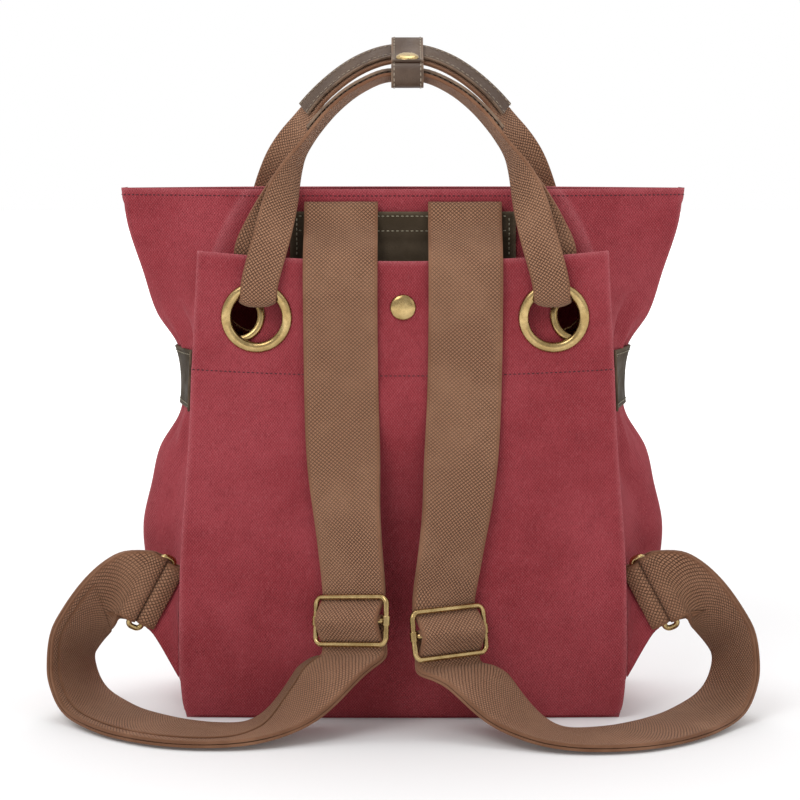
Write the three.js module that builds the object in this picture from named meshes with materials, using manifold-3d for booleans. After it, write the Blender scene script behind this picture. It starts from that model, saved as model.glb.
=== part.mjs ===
// A canvas tote backpack that stands on its flat base, seen from its strap side.
// Millimetres, +Z up, -Y is the strap side, +X its right. The origin is the middle of the base.
import * as THREE from "three";
import { mergeVertices } from "three/addons/utils/BufferGeometryUtils.js";
import Module from "manifold-3d";

const wasm = await Module();
wasm.setup();

// The bag
const bagHeight = 360;
const bulgeHalfWidth = 182;
const backHalfWidth = 152;
const baseHalfDepth = 57;
const backBow = 2.5;
const tuckDip = 0.3;
const canvas = 2;
const hemHeight = 11;
const hemExtra = 0.8;
const seat = 0.3;

// The back panel and its slip pocket
const stitchHeight = 0.6722 * bagHeight;
const panelTop = 0.8889 * bagHeight;
const panelTopHalfWidth = 138;
const panelTopDepth = 53;
const panelDip = 7;
const panelFoot = 2;

// Rings, snaps and leather
const ringOuterRadius = 24;
const ringInnerRadius = 17.2;
const ringFlange = 2.2;
const grommetHeight = 0.7639 * bagHeight;
const panelGrommetSpread = 100;
const bodyGrommetSpread = 115.5;
const bodyGrommetScale = 0.8;
const frontGrommetSpread = 108;
const snapRadius = 8.7;
const snapRise = 2.6;
const snapHeight = 0.7833 * bagHeight;
const leather = 2;
const patchHalfWidth = 76.5;
const patchTop = 0.9583 * bagHeight;
const patchFoot = 0.8333 * bagHeight;
const patchCorner = 12;
const beltHeight = 40;
const beltMiddle = 0.6417 * bagHeight;
const beltCover = 0.62;

// Handles
const handleWidth = 25;
const webbing = 2.4;
const handleShift = 1.5;
const backHandleTop = bagHeight + 75.5;
const frontHandleTop = bagHeight + 89;
const gripLeather = 2;
const gripReach = 9;
const keeperWidth = 22;
const keeperShift = 3;
const keeperSnapRadius = 7.5;

// Shoulder straps
const strapWidth = 50;
const strapThickness = 2;
const strapTop = patchTop + 6.5;
const strapSpread = 42;
const sliderHeight = { left: 76, right: 68 };
const sliderSpread = { left: 35, right: 31 };
const sliderTurn = 33;
const sliderRise = { left: 0.12, right: 0.02 };
const sliderReach = 93;
const strapReach = { left: 117, right: 126 };
const loopHalfSpan = 234;
const wire = 1.65;
const sliderHalfHeight = 16;
const ringWire = 1.9;
const ringHalfGap = 4.7;
const ringOut = 171.5;
const ringForward = 47;
const ringHeight = 87;
const ringLean = 62;
const slack = 2;
const tabWidth = 42;
const earTop = 92;
const earFoot = 28;
const loopRest = 3;
const earTurn = 5.985;

const vec = (x, y, z) => new THREE.Vector3(x, y, z);
const rad = THREE.MathUtils.degToRad;
const lerp = THREE.MathUtils.lerp;

// Colours, roughness and metalness of the real materials
function finish(colour, roughness, metalness = 0) {
  return new THREE.MeshStandardMaterial({ color: colour, roughness, metalness });
}
const crimson = finish(0x9c3a48, 0.95);
const brownWebbing = finish(0x8a6248, 0.9);
const darkLeather = finish(0x413a30, 0.6);
const greyLeather = finish(0x695850, 0.6);
const brass = finish(0xaf9650, 0.35, 1);

const bag = new THREE.Group();

function place(name, geometry, material) {
  const mesh = new THREE.Mesh(geometry, material);
  mesh.name = name;
  bag.add(mesh);
  return mesh;
}

// Geometry from points and triangles, with alike points merged
function solidFrom(points, faces) {
  const geometry = new THREE.BufferGeometry();
  geometry.setAttribute("position", new THREE.Float32BufferAttribute(points.flatMap((p) => p.toArray()), 3));
  geometry.setIndex(faces.flat());
  return geometry;
}

// A closed solid lofted through rings of as many points each, with its two ends capped. In a twisted solid,
// each face is folded along the diagonal that lies further towards foldSide, so that near layers fold alike.
const foldSide = vec(0, -0.9, 0.4);
function loft(rings, twisted = false) {
  const count = rings[0].length;
  const points = rings.flat();
  const faces = [];
  const foldsForward = (a, b) =>
    points[a].clone().add(points[b + count]).sub(points[b]).sub(points[a + count]).dot(foldSide) > 0;
  for (let row = 0; row + 1 < rings.length; row++) {
    for (let i = 0; i < count; i++) {
      const a = row * count + i;
      const b = row * count + ((i + 1) % count);
      if (!twisted || foldsForward(a, b)) {
        faces.push([a, b, b + count], [a, b + count, a + count]);
      } else {
        faces.push([a, b, a + count], [b, b + count, a + count]);
      }
    }
  }
  const cap = (row, flip) => {
    const middle = rings[row].reduce((sum, p) => sum.add(p), vec(0, 0, 0)).divideScalar(count);
    points.push(middle);
    for (let i = 0; i < count; i++) {
      const a = row * count + i;
      const b = row * count + ((i + 1) % count);
      faces.push(flip ? [points.length - 1, b, a] : [points.length - 1, a, b]);
    }
  };
  cap(0, true);
  cap(rings.length - 1, false);
  return solidFrom(points, faces);
}

// A closed solid between two grids of points: the shown face and the hidden face
function sheet(shown, hidden) {
  const rows = shown.length;
  const columns = shown[0].length;
  const points = [...shown.flat(), ...hidden.flat()];
  const back = rows * columns;
  const faces = [];
  const quad = (a, b, c, d) => faces.push([a, b, c], [a, c, d]);
  for (let r = 0; r + 1 < rows; r++) {
    for (let c = 0; c + 1 < columns; c++) {
      const a = r * columns + c;
      quad(a, a + 1, a + columns + 1, a + columns);
      quad(back + a, back + a + columns, back + a + columns + 1, back + a + 1);
    }
  }
  for (let c = 0; c + 1 < columns; c++) {
    const top = (rows - 1) * columns + c;
    quad(c, back + c, back + c + 1, c + 1);
    quad(top, top + 1, back + top + 1, back + top);
  }
  for (let r = 0; r + 1 < rows; r++) {
    const left = r * columns;
    const right = left + columns - 1;
    quad(left, left + columns, back + left + columns, back + left);
    quad(right, back + right, back + right + columns, right + columns);
  }
  return solidFrom(points, faces);
}

function mirrored(geometry) {
  const copy = geometry.clone();
  copy.scale(-1, 1, 1);
  const index = Array.from(copy.index.array);
  for (let i = 0; i < index.length; i += 3) [index[i], index[i + 1]] = [index[i + 1], index[i]];
  copy.setIndex(index);
  return copy;
}

// Joining and cutting
function toManifold(geometry) {
  const bare = geometry.clone();
  bare.deleteAttribute("normal");
  bare.deleteAttribute("uv");
  const merged = mergeVertices(bare, 1e-4);
  return new wasm.Manifold(
    new wasm.Mesh({
      numProp: 3,
      vertProperties: merged.attributes.position.array,
      triVerts: new Uint32Array(merged.index.array),
    }),
  );
}

function fromManifold(solid) {
  const mesh = solid.getMesh();
  const geometry = new THREE.BufferGeometry();
  geometry.setAttribute("position", new THREE.BufferAttribute(new Float32Array(mesh.vertProperties), 3));
  geometry.setIndex(new THREE.BufferAttribute(new Uint32Array(mesh.triVerts), 1));
  return geometry;
}

function cutAll(geometry, tools) {
  return fromManifold(tools.reduce((left, tool) => left.subtract(toManifold(tool)), toManifold(geometry)));
}

function joinAll(geometries) {
  return fromManifold(geometries.map(toManifold).reduce((all, one) => all.add(one)));
}

// Smooth reading of one column of a table, by its first column
function read(table, key, value, column) {
  let i = table.findIndex((row) => row[key] >= value);
  if (i < 0) i = table.length - 1;
  if (i === 0) i = 1;
  const [p, q] = [table[i - 1], table[i]];
  const before = table[i - 2] ?? p;
  const after = table[i + 1] ?? q;
  const span = q[key] - p[key];
  const slope = (a, b) => (b[key] === a[key] ? 0 : (b[column] - a[column]) / (b[key] - a[key]));
  const m0 = slope(before, q) * span;
  const m1 = slope(p, after) * span;
  const t = THREE.MathUtils.clamp((value - p[key]) / span, 0, 1);
  return (
    (2 * t ** 3 - 3 * t ** 2 + 1) * p[column] +
    (t ** 3 - 2 * t ** 2 + t) * m0 +
    (3 * t ** 2 - 2 * t ** 3) * q[column] +
    (t ** 3 - t ** 2) * m1
  );
}

// Sections of the bag. up: share of bagHeight. back: half width of the back and front faces, share of
// backHalfWidth. side: half width at the side seam, share of bulgeHalfWidth. deep: half depth, share of
// baseHalfDepth. tuck: 1 where the side tucks in behind its seam and bulges out again, 0 where it is
// pressed flat into a wing.
const sections = [
  { up: 0.0, back: 0.975, side: 0.845, deep: 0.95, tuck: 0.8 },
  { up: 0.035, back: 0.99, side: 0.865, deep: 1.02, tuck: 0.9 },
  { up: 0.1, back: 1.0, side: 0.91, deep: 1.06, tuck: 1 },
  { up: 0.18, back: 1.0, side: 0.955, deep: 1.08, tuck: 1 },
  { up: 0.27, back: 0.995, side: 0.99, deep: 1.08, tuck: 1 },
  { up: 0.35, back: 0.985, side: 1.0, deep: 1.06, tuck: 1 },
  { up: 0.43, back: 0.97, side: 0.98, deep: 1.02, tuck: 0.95 },
  { up: 0.5, back: 0.957, side: 0.925, deep: 0.98, tuck: 0.85 },
  { up: 0.57, back: 0.947, side: 0.868, deep: 0.94, tuck: 0.7 },
  { up: 0.64, back: 0.942, side: 0.855, deep: 0.87, tuck: 0.55 },
  { up: 0.7, back: 0.937, side: 0.876, deep: 0.79, tuck: 0.4 },
  { up: 0.76, back: 0.926, side: 0.938, deep: 0.7, tuck: 0.25 },
  { up: 0.84, back: 0.88, side: 0.985, deep: 0.57, tuck: 0.12 },
  { up: 0.93, back: 0.8, side: 1.025, deep: 0.43, tuck: 0.05 },
  { up: 1.0, back: 0.7, side: 1.043, deep: 0.34, tuck: 0 },
];

// Dents and folds of the sides. side: -1 left, 1 right. face: -1 strap side, 1 far side. out: 0 at the
// back or front corner, 1 at the side seam. up: share of bagHeight. wide and long: half sizes of the fold,
// shares of bulgeHalfWidth. lean: degrees from upright, leaning out. depth: share of canvas, inwards.
const folds = [
  { side: -1, face: -1, out: 0.42, up: 0.735, wide: 0.05, long: 0.16, lean: 34, depth: 2.6 },
  { side: -1, face: -1, out: 0.75, up: 0.8, wide: 0.06, long: 0.18, lean: 24, depth: -1.4 },
  { side: -1, face: -1, out: 0.5, up: 0.5, wide: 0.05, long: 0.13, lean: -22, depth: 2.2 },
  { side: -1, face: -1, out: 0.62, up: 0.26, wide: 0.06, long: 0.2, lean: -8, depth: 1.6 },
  { side: 1, face: -1, out: 0.5, up: 0.76, wide: 0.05, long: 0.15, lean: 30, depth: 2.8 },
  { side: 1, face: -1, out: 0.8, up: 0.86, wide: 0.06, long: 0.16, lean: 20, depth: -1.3 },
  { side: 1, face: -1, out: 0.45, up: 0.49, wide: 0.05, long: 0.14, lean: -26, depth: 2.4 },
  { side: 1, face: -1, out: 0.7, up: 0.34, wide: 0.06, long: 0.2, lean: -6, depth: 1.5 },
  { side: -1, face: 1, out: 0.5, up: 0.76, wide: 0.06, long: 0.16, lean: 28, depth: 2.2 },
  { side: -1, face: 1, out: 0.5, up: 0.48, wide: 0.06, long: 0.15, lean: -24, depth: 2.2 },
  { side: 1, face: 1, out: 0.5, up: 0.75, wide: 0.06, long: 0.16, lean: 30, depth: 2.4 },
  { side: 1, face: 1, out: 0.55, up: 0.48, wide: 0.06, long: 0.15, lean: -20, depth: 2 },
];

const faceSegments = 8;
const sideSegments = 6;
const quarterPlan = [
  { side: 0, face: -1, from: -1, to: 1, steps: faceSegments },
  { side: 1, face: -1, from: 0, to: 1, steps: sideSegments },
  { side: 1, face: 1, from: 1, to: 0, steps: sideSegments },
  { side: 0, face: 1, from: 1, to: -1, steps: faceSegments },
  { side: -1, face: 1, from: 0, to: 1, steps: sideSegments },
  { side: -1, face: -1, from: 1, to: 0, steps: sideSegments },
];

function sectionAt(up) {
  return {
    back: read(sections, "up", up, "back") * backHalfWidth,
    side: read(sections, "up", up, "side") * bulgeHalfWidth,
    deep: read(sections, "up", up, "deep") * baseHalfDepth,
    tuck: read(sections, "up", up, "tuck"),
  };
}

function foldDepth(side, face, out, up, reach) {
  let depth = 0;
  for (const fold of folds) {
    if (fold.side !== side || fold.face !== face) continue;
    const across = (out - fold.out) * reach;
    const along = (up - fold.up) * bagHeight;
    const turn = rad(fold.lean);
    const u = (across * Math.cos(turn) - along * Math.sin(turn)) / (fold.wide * bulgeHalfWidth);
    const v = (across * Math.sin(turn) + along * Math.cos(turn)) / (fold.long * bulgeHalfWidth);
    depth += fold.depth * canvas * Math.exp(-u * u - v * v);
  }
  return depth * Math.sin(Math.PI * THREE.MathUtils.clamp(out, 0, 1));
}

// One point of the bag's outer face. turn runs from 0 to 6 once round the bag: whole numbers are the
// corners and the side seams, 0 to 1 is the strap side from left to right.
function skin(turn, up) {
  const quarter = quarterPlan[Math.floor(((turn % 6) + 6) % 6)];
  const t = (((turn % 6) + 6) % 6) % 1;
  const s = lerp(quarter.from, quarter.to, t);
  const cut = sectionAt(up);
  if (quarter.side === 0) {
    return vec(s * cut.back, quarter.face * (cut.deep + backBow * (1 - s * s)), up * bagHeight);
  }
  const reach = Math.hypot(cut.side - cut.back, cut.deep);
  const bulge = Math.sin((s * Math.PI) / 2) ** 2 - tuckDip * Math.sin(s * Math.PI);
  const x = lerp(cut.back, cut.side, lerp(s, bulge, cut.tuck));
  const y = cut.deep * lerp(1 - s, Math.cos((s * Math.PI) / 2), 0.2);
  const depth = foldDepth(quarter.side, quarter.face, s, up, reach);
  const inwardX = (-depth * cut.deep) / reach;
  const inwardY = (-depth * (cut.side - cut.back)) / reach;
  return vec(quarter.side * (x + inwardX), quarter.face * (y + inwardY), up * bagHeight);
}

// The same point moved out of the wall by a distance, mitred where the wall turns
function skinOut(turn, up, distance) {
  const step = 1e-3;
  const here = skin(turn, up);
  const before = here.clone().sub(skin(turn - step, up)).normalize();
  const after = skin(turn + step, up).sub(here).normalize();
  const n1 = vec(before.y, -before.x, 0);
  const n2 = vec(after.y, -after.x, 0);
  const spread = Math.max(1 + n1.dot(n2), 0.08);
  return here.add(n1.add(n2).multiplyScalar(distance / spread));
}

const turns = quarterPlan.flatMap((quarter, i) =>
  Array.from({ length: quarter.steps }, (_, step) => i + step / quarter.steps),
);

const hemFoot = 1 - hemHeight / bagHeight;
const beltLow = (beltMiddle - beltHeight / 2) / bagHeight;
const beltHigh = (beltMiddle + beltHeight / 2) / bagHeight;
const stitchUp = stitchHeight / bagHeight;
const rowShares = [
  0, 0.02, 0.05, 0.1, 0.16, 0.23, 0.3, 0.37, 0.43, 0.48, 0.53, beltLow, beltMiddle / bagHeight, stitchUp, beltHigh,
  0.745, 0.79, 0.84, 0.89, 0.93, hemFoot,
];

function buildBody() {
  const ring = (up, distance, lift = 0) =>
    turns.map((turn) => skinOut(turn, up, distance).add(vec(0, 0, lift)));
  const outer = rowShares.map((up) => ring(up, 0));
  outer.push(ring(hemFoot + 0.004, hemExtra), ring(1 - 0.003, hemExtra), ring(1, 0));
  const inner = [...rowShares.filter((up, i) => up > 0.03 && i % 3 === 0), 1].map((up) => ring(up, -canvas));
  inner.unshift(ring(0.02, -canvas - 1).map((p) => p.setZ(canvas)));
  return loft([...outer, ...inner.reverse()]);
}

// The back panel lies on the bag below its stitch line and stands free above it
function panelPoint(share, height, distance) {
  const up = height / bagHeight;
  if (height <= stitchHeight) {
    return skinOut((share + 1) / 2, up, distance);
  }
  const t = (height - stitchHeight) / (panelTop - stitchHeight);
  const root = skin((share + 1) / 2, stitchUp);
  const x = lerp(root.x, share * panelTopHalfWidth, t);
  const face = -(panelTopDepth - canvas + backBow * (1 - share * share));
  return vec(x, lerp(root.y, face, t) - distance, height);
}

const panelEdge = 0.999;
function panelShares() {
  return Array.from({ length: faceSegments + 1 }, (_, i) => (-1 + (2 * i) / faceSegments) * panelEdge);
}

function panelTopAt(share) {
  return panelTop - panelDip * (1 - share * share);
}

function buildPanel() {
  const heights = [panelFoot, ...rowShares.map((up) => up * bagHeight).filter((z) => z > panelFoot + 4)];
  const lower = heights.filter((z) => z <= stitchHeight + 1e-6);
  const face = (distance) => {
    const rows = lower.map((z) => panelShares().map((share) => panelPoint(share, z, distance)));
    for (const t of [0.25, 0.5, 0.75, 1]) {
      rows.push(panelShares().map((s) => panelPoint(s, lerp(stitchHeight, panelTopAt(s), t), distance)));
    }
    return rows;
  };
  return sheet(face(seat + canvas), face(seat));
}

// A frame on a wall: the middle of a round piece, and the way out of the wall
function seatOn(point, middleA, middleB, radius) {
  const e = 0.02;
  const origin = point(middleA, middleB);
  const dA = point(middleA + e, middleB).sub(point(middleA - e, middleB));
  const dB = point(middleA, middleB + e).sub(point(middleA, middleB - e));
  const normal = dA.cross(dB).normalize();
  let rise = 0;
  for (let i = 0; i < 12; i++) {
    const a = (i / 12) * 2 * Math.PI;
    const p = point(middleA + Math.cos(a) * radius, middleB + Math.sin(a) * radius);
    rise = Math.max(rise, p.sub(origin).dot(normal));
  }
  return { origin: origin.addScaledVector(normal, rise), normal };
}

function turnOnto(geometry, frame) {
  const turn = new THREE.Quaternion().setFromUnitVectors(vec(0, 0, 1), frame.normal);
  geometry.applyQuaternion(turn);
  geometry.translate(frame.origin.x, frame.origin.y, frame.origin.z);
  return geometry;
}

// A lathe about +Z from (radius, height) pairs, closed on itself or on the axis
function turned(profile, segments) {
  const geometry = new THREE.LatheGeometry(profile.map(([r, z]) => new THREE.Vector2(r, z)), segments);
  geometry.rotateX(Math.PI / 2);
  geometry.deleteAttribute("uv");
  geometry.deleteAttribute("normal");
  return mergeVertices(geometry, 1e-4);
}

// A rolled eyelet: a domed ring on the shown face, a barrel through the cloth and a washer behind
function eyelet(scale, cloth) {
  const outer = ringOuterRadius * scale;
  const inner = ringInnerRadius * scale;
  const barrel = inner + ringFlange * 0.6;
  const behind = -cloth - 2 * seat;
  const crown = ringFlange;
  return turned(
    [
      [inner, behind - 1],
      [outer * 0.93, behind - 1],
      [outer * 0.93, behind - 0.1],
      [barrel, behind - 0.1],
      [barrel, seat],
      [outer, seat],
      [outer - 0.8, crown * 0.75],
      [(outer + inner) / 2, crown + seat],
      [inner + 0.9, crown * 0.75],
      [inner, 0],
      [inner, behind - 1],
    ],
    14,
  );
}

function barrelCutter(scale) {
  return new THREE.CylinderGeometry(
    ringInnerRadius * scale + ringFlange * 0.6 + seat + 0.15,
    ringInnerRadius * scale + ringFlange * 0.6 + seat + 0.15,
    40,
    14,
  ).rotateX(Math.PI / 2);
}

function domedCap(radius, rise) {
  return turned(
    [
      [0, 0],
      [radius * 0.94, 0],
      [radius, rise * 0.3],
      [radius * 0.86, rise * 0.72],
      [radius * 0.5, rise * 0.94],
      [0, rise],
    ],
    16,
  );
}

// Walls as functions of x and z, so that round pieces can be seated on them
const panelWall = (distance) => (x, z) => {
  const t = Math.max(0, (z - stitchHeight) / (panelTop - stitchHeight));
  const half = lerp(sectionAt(stitchUp).back, panelTopHalfWidth, t);
  return panelPoint(x / half, z, distance);
};
const bagWall = (face, distance) => (x, z) => {
  const share = x / sectionAt(z / bagHeight).back;
  const turn = face < 0 ? (share + 1) / 2 : 3 + (1 - share) / 2;
  return skinOut(turn, z / bagHeight, distance);
};

function outward(frame, face) {
  if (frame.normal.y * face < 0) frame.normal.negate();
  return frame;
}

function seatedEyelet(wall, face, x, scale, cloth) {
  const first = outward(seatOn(wall, x, grommetHeight, ringOuterRadius * scale), face);
  const rise = first.origin.clone().sub(wall(x, grommetHeight)).dot(first.normal);
  const frame = { origin: wall(x, grommetHeight).addScaledVector(first.normal, Math.max(rise, 0)), normal: first.normal };
  return { geometry: turnOnto(eyelet(scale, cloth + Math.max(rise, 0)), frame), frame };
}

const panelEyelets = [-1, 1].map((side) =>
  seatedEyelet(panelWall(seat + canvas), -1, side * panelGrommetSpread + handleShift, 1, canvas),
);
const backEyelets = [-1, 1].map((side) =>
  seatedEyelet(bagWall(-1, 0), -1, side * bodyGrommetSpread + handleShift * 2, bodyGrommetScale, canvas + 0.6),
);
const frontEyelets = [-1, 1].map((side) =>
  seatedEyelet(bagWall(1, 0), 1, side * frontGrommetSpread + handleShift, 1, canvas + 0.6),
);

const cutterAt = (eye, scale) => turnOnto(barrelCutter(scale), eye.frame);
place(
  "body",
  cutAll(buildBody(), [
    ...backEyelets.map((eye) => cutterAt(eye, bodyGrommetScale)),
    ...frontEyelets.map((eye) => cutterAt(eye, 1)),
  ]),
  crimson,
);
place("back_panel", cutAll(buildPanel(), panelEyelets.map((eye) => cutterAt(eye, 1))), crimson);

const sideNames = ["left", "right"];
sideNames.forEach((name, i) => {
  place("panel_grommet_" + name, panelEyelets[i].geometry, brass);
  place("body_grommet_" + name, backEyelets[i].geometry, brass);
  place("front_grommet_" + name, frontEyelets[i].geometry, brass);
});

function buildPanelSnap() {
  const frame = outward(seatOn(panelWall(seat + canvas), 0, snapHeight, snapRadius), -1);
  frame.origin.addScaledVector(frame.normal, seat);
  return turnOnto(domedCap(snapRadius, snapRise), frame);
}
place("panel_snap", buildPanelSnap(), brass);

// The leather patch lies on the wall and swells over the two strap ends sewn under its top edge
const tailDepth = 10;
function patchLift(x, z) {
  const near = Math.min(Math.abs(Math.abs(x) - strapSpread) - strapWidth / 2, 14);
  const across = THREE.MathUtils.smoothstep(-near, -9, -1);
  const along = THREE.MathUtils.smoothstep(z, patchTop - tailDepth - 12, patchTop - tailDepth - 4);
  return (strapThickness + seat) * across * along;
}

function buildPatch() {
  const nearEdge = (strapSpread - strapWidth / 2 - 1) / patchHalfWidth;
  const farEdge = (strapSpread + strapWidth / 2 + 1) / patchHalfWidth;
  const half = [nearEdge / 2, nearEdge, 0.45, 0.7, farEdge, 0.94, 0.985, 1];
  const columns = [...half.map((share) => -share).reverse(), 0, ...half];
  const rows = [0, 0.12, 0.3, 0.5, 0.62, 0.72, 0.86, 1];
  const face = (distance) =>
    rows.map((row) =>
      columns.map((column) => {
        const x = column * patchHalfWidth;
        const corner = Math.max(0, Math.abs(x) - (patchHalfWidth - patchCorner)) / patchCorner;
        const foot = patchFoot + patchCorner * (1 - Math.sqrt(Math.max(0, 1 - corner * corner)));
        const z = lerp(foot, patchTop, row);
        return bagWall(-1, seat + distance + patchLift(x, z))(x, z);
      }),
    );
  return sheet(face(leather), face(0));
}
place("leather_patch", buildPatch(), darkLeather);

// The belts run round the sides at the waist, from the back panel's edge to the front
function buildBelt(side) {
  const first = side > 0 ? 1 + 0.04 : 5 - beltCover;
  const last = side > 0 ? 2 + beltCover : 6 - 0.04;
  const along = [first, ...turns.filter((turn) => turn > first + 0.02 && turn < last - 0.02), last];
  const heights = [beltLow, beltMiddle / bagHeight, stitchUp, beltHigh];
  const face = (distance) => heights.map((up) => along.map((turn) => skinOut(turn, up, distance)));
  return sheet(face(seat + leather), face(seat));
}
place("side_belt_left", buildBelt(-1), darkLeather);
place("side_belt_right", buildBelt(1), darkLeather);

// Each frame holds the middle p and the direction w across the band. Its axes are across and up. A slanted
// frame keeps w as it is, where the band's sections fan out from one edge.
function withAxes(frames) {
  return frames.map((frame, i) => {
    const before = frames[Math.max(i - 1, 0)].p;
    const after = frames[Math.min(i + 1, frames.length - 1)].p;
    const along = after.clone().sub(before).normalize();
    const square = frame.slanted ? 0 : -frame.w.dot(along);
    const across = frame.w.clone().addScaledVector(along, square).normalize();
    return { p: frame.p, across, up: along.cross(across).normalize() };
  });
}

// A flat band through frames with axes
function band(frames, width, thickness) {
  return loft(
    frames.map(({ p, across, up }) => {
      const corner = (a, b) =>
        p.clone().addScaledVector(across, (a * width) / 2).addScaledVector(up, (b * thickness) / 2);
      return [corner(-1, -1), corner(1, -1), corner(1, 1), corner(-1, 1)];
    }),
    true,
  );
}

// Frames read along a smooth curve through rows of {p, w}
function smoothFrames(rows, steps) {
  const middle = new THREE.CatmullRomCurve3(rows.map((row) => row.p), false, "centripetal");
  const across = new THREE.CatmullRomCurve3(rows.map((row) => row.w), false, "catmullrom", 0.5);
  const frames = [];
  const count = (rows.length - 1) * steps;
  for (let i = 0; i <= count; i++) {
    const { slanted } = rows[Math.round(i / steps)];
    frames.push({ p: middle.getPoint(i / count), w: across.getPoint(i / count).normalize(), slanted });
  }
  return withAxes(frames);
}

// A frame as a row to bend a band through
function asRow(frame) {
  return { p: frame.p, w: frame.w ?? frame.across };
}

// The same band one layer up, and the same band run the other way
function shifted(frames, distance) {
  return frames.map(({ p, across, up }) => ({ p: p.clone().addScaledVector(up, distance), across, up }));
}

function returned(frames) {
  return [...frames].reverse().map(({ p, across, up }) => ({ p, across, up: up.clone().negate() }));
}

// Half of each handle, from its top to the end of its leg. out: share of the ring's spread. rise: share of
// the height from the rings to the handle's top. deep: share of baseHalfDepth, towards its own side.
// roll: degrees that the band turns its width from along Y into the arch's plane.
const backHandleRows = [
  { out: 0.0, rise: 1.0, deep: 0.25, roll: 10 },
  { out: 0.14, rise: 0.995, deep: 0.25, roll: 10 },
  { out: 0.27, rise: 0.962, deep: 0.26, roll: 10 },
  { out: 0.4, rise: 0.91, deep: 0.3, roll: 11 },
  { out: 0.55, rise: 0.82, deep: 0.38, roll: 12 },
  { out: 0.7, rise: 0.69, deep: 0.49, roll: 16 },
  { out: 0.79, rise: 0.57, deep: 0.63, roll: 42 },
  { out: 0.84, rise: 0.47, deep: 0.79, roll: 66 },
  { out: 0.895, rise: 0.33, deep: 0.97, roll: 88 },
  { out: 0.94, rise: 0.23, deep: 1.025, roll: 90 },
  { out: 0.975, rise: 0.14, deep: 1.035, roll: 90 },
];
const frontHandleRows = [
  { out: 0.0, rise: 1.0, deep: 0.22, roll: -30 },
  { out: 0.14, rise: 0.99, deep: 0.22, roll: -30 },
  { out: 0.3, rise: 0.95, deep: 0.25, roll: -30 },
  { out: 0.44, rise: 0.89, deep: 0.28, roll: -30 },
  { out: 0.56, rise: 0.82, deep: 0.32, roll: -31 },
  { out: 0.67, rise: 0.73, deep: 0.37, roll: -40 },
  { out: 0.76, rise: 0.635, deep: 0.43, roll: -66 },
  { out: 0.82, rise: 0.555, deep: 0.49, roll: -88 },
  { out: 0.87, rise: 0.47, deep: 0.55, roll: -90 },
  { out: 0.93, rise: 0.34, deep: 0.72, roll: -90 },
  { out: 0.965, rise: 0.23, deep: 0.83, roll: -90 },
  { out: 0.985, rise: 0.14, deep: 0.88, roll: -90 },
];
// The leg's way through the ring and up behind the wall, from its lowest front point
const backLoopRows = [
  { out: 0.985, rise: 0.065, deep: 1.0, roll: 90 },
  { out: 0.99, rise: 0.044, deep: 0.93, roll: 90 },
  { out: 1.0, rise: 0.044, deep: 0.83, roll: 90 },
  { out: 1.0, rise: 0.075, deep: 0.775, roll: 90 },
  { out: 1.01, rise: 0.17, deep: 0.75, roll: 90 },
  { out: 1.03, rise: 0.27, deep: 0.74, roll: 90 },
  { out: 0.97, rise: 0.36, deep: 0.71, roll: 88 },
  { out: 0.885, rise: 0.46, deep: 0.655, roll: 66 },
  { out: 0.815, rise: 0.55, deep: 0.56, roll: 42 },
];
const frontLoopRows = [
  { out: 0.99, rise: 0.065, deep: 0.87, roll: -90 },
  { out: 1.0, rise: 0.042, deep: 0.79, roll: -90 },
  { out: 1.0, rise: 0.038, deep: 0.64, roll: -90 },
  { out: 1.0, rise: 0.048, deep: 0.53, roll: -90 },
  { out: 1.0, rise: 0.12, deep: 0.46, roll: -90 },
  { out: 0.98, rise: 0.23, deep: 0.36, roll: -90 },
  { out: 0.93, rise: 0.36, deep: 0.25, roll: -90 },
  { out: 0.9, rise: 0.43, deep: 0.22, roll: -90 },
];

function handleRow(row, side, face, spread, top) {
  const p = vec(
    side * row.out * spread + handleShift,
    face * row.deep * baseHalfDepth,
    grommetHeight + row.rise * (top - grommetHeight),
  );
  return { p, roll: row.roll };
}

// The width direction: along -Y turned by the roll towards the outside of the arch
function rolled(rows, face) {
  return rows.map((row, i) => {
    const before = rows[Math.max(i - 1, 0)].p;
    const after = rows[Math.min(i + 1, rows.length - 1)].p;
    const along = vec(after.x - before.x, 0, after.z - before.z).normalize();
    const outside = vec(-along.z, 0, along.x);
    const w = vec(0, -Math.cos(rad(row.roll)), 0).addScaledVector(outside, Math.sin(rad(row.roll)));
    return { p: row.p, w };
  });
}

function handleFrames(rows, face, spread, top) {
  const left = [...rows].reverse().map((row) => handleRow(row, -1, face, spread, top));
  const right = rows.slice(1).map((row) => handleRow(row, 1, face, spread, top));
  return rolled([...left, ...right], face);
}

function buildHandle(rows, loopRows, face, spread, top) {
  const arch = handleFrames(rows, face, spread, top);
  const loop = (side) => {
    const points = loopRows.map((row) => handleRow(row, side, face, spread, top));
    return points.map(({ p, roll }) => ({ p, w: vec(side * Math.sin(rad(roll)), -Math.cos(rad(roll)), 0) }));
  };
  return smoothFrames([...loop(-1).reverse(), ...arch, ...loop(1)], 2);
}

const backHandle = buildHandle(backHandleRows, backLoopRows, -1, panelGrommetSpread, backHandleTop);
const frontHandle = buildHandle(frontHandleRows, frontLoopRows, 1, frontGrommetSpread, frontHandleTop);
place("back_handle", band(backHandle, handleWidth, webbing), brownWebbing);
place("front_handle", band(frontHandle, handleWidth, webbing), brownWebbing);

// The leather lies on the outside of the arch, over its middle stretch
function buildGrip(frames, reach) {
  const middle = (frames.length - 1) / 2;
  const outer = frames[middle].up.z > 0 ? 1 : -1;
  const layer = shifted(frames, outer * ((webbing + gripLeather) / 2 + 3 * seat));
  return band(layer.slice(middle - reach, middle + reach + 1), handleWidth, gripLeather);
}
place("back_handle_grip", buildGrip(backHandle, gripReach), greyLeather);
place("front_handle_grip", buildGrip(frontHandle, gripReach), greyLeather);

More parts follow.
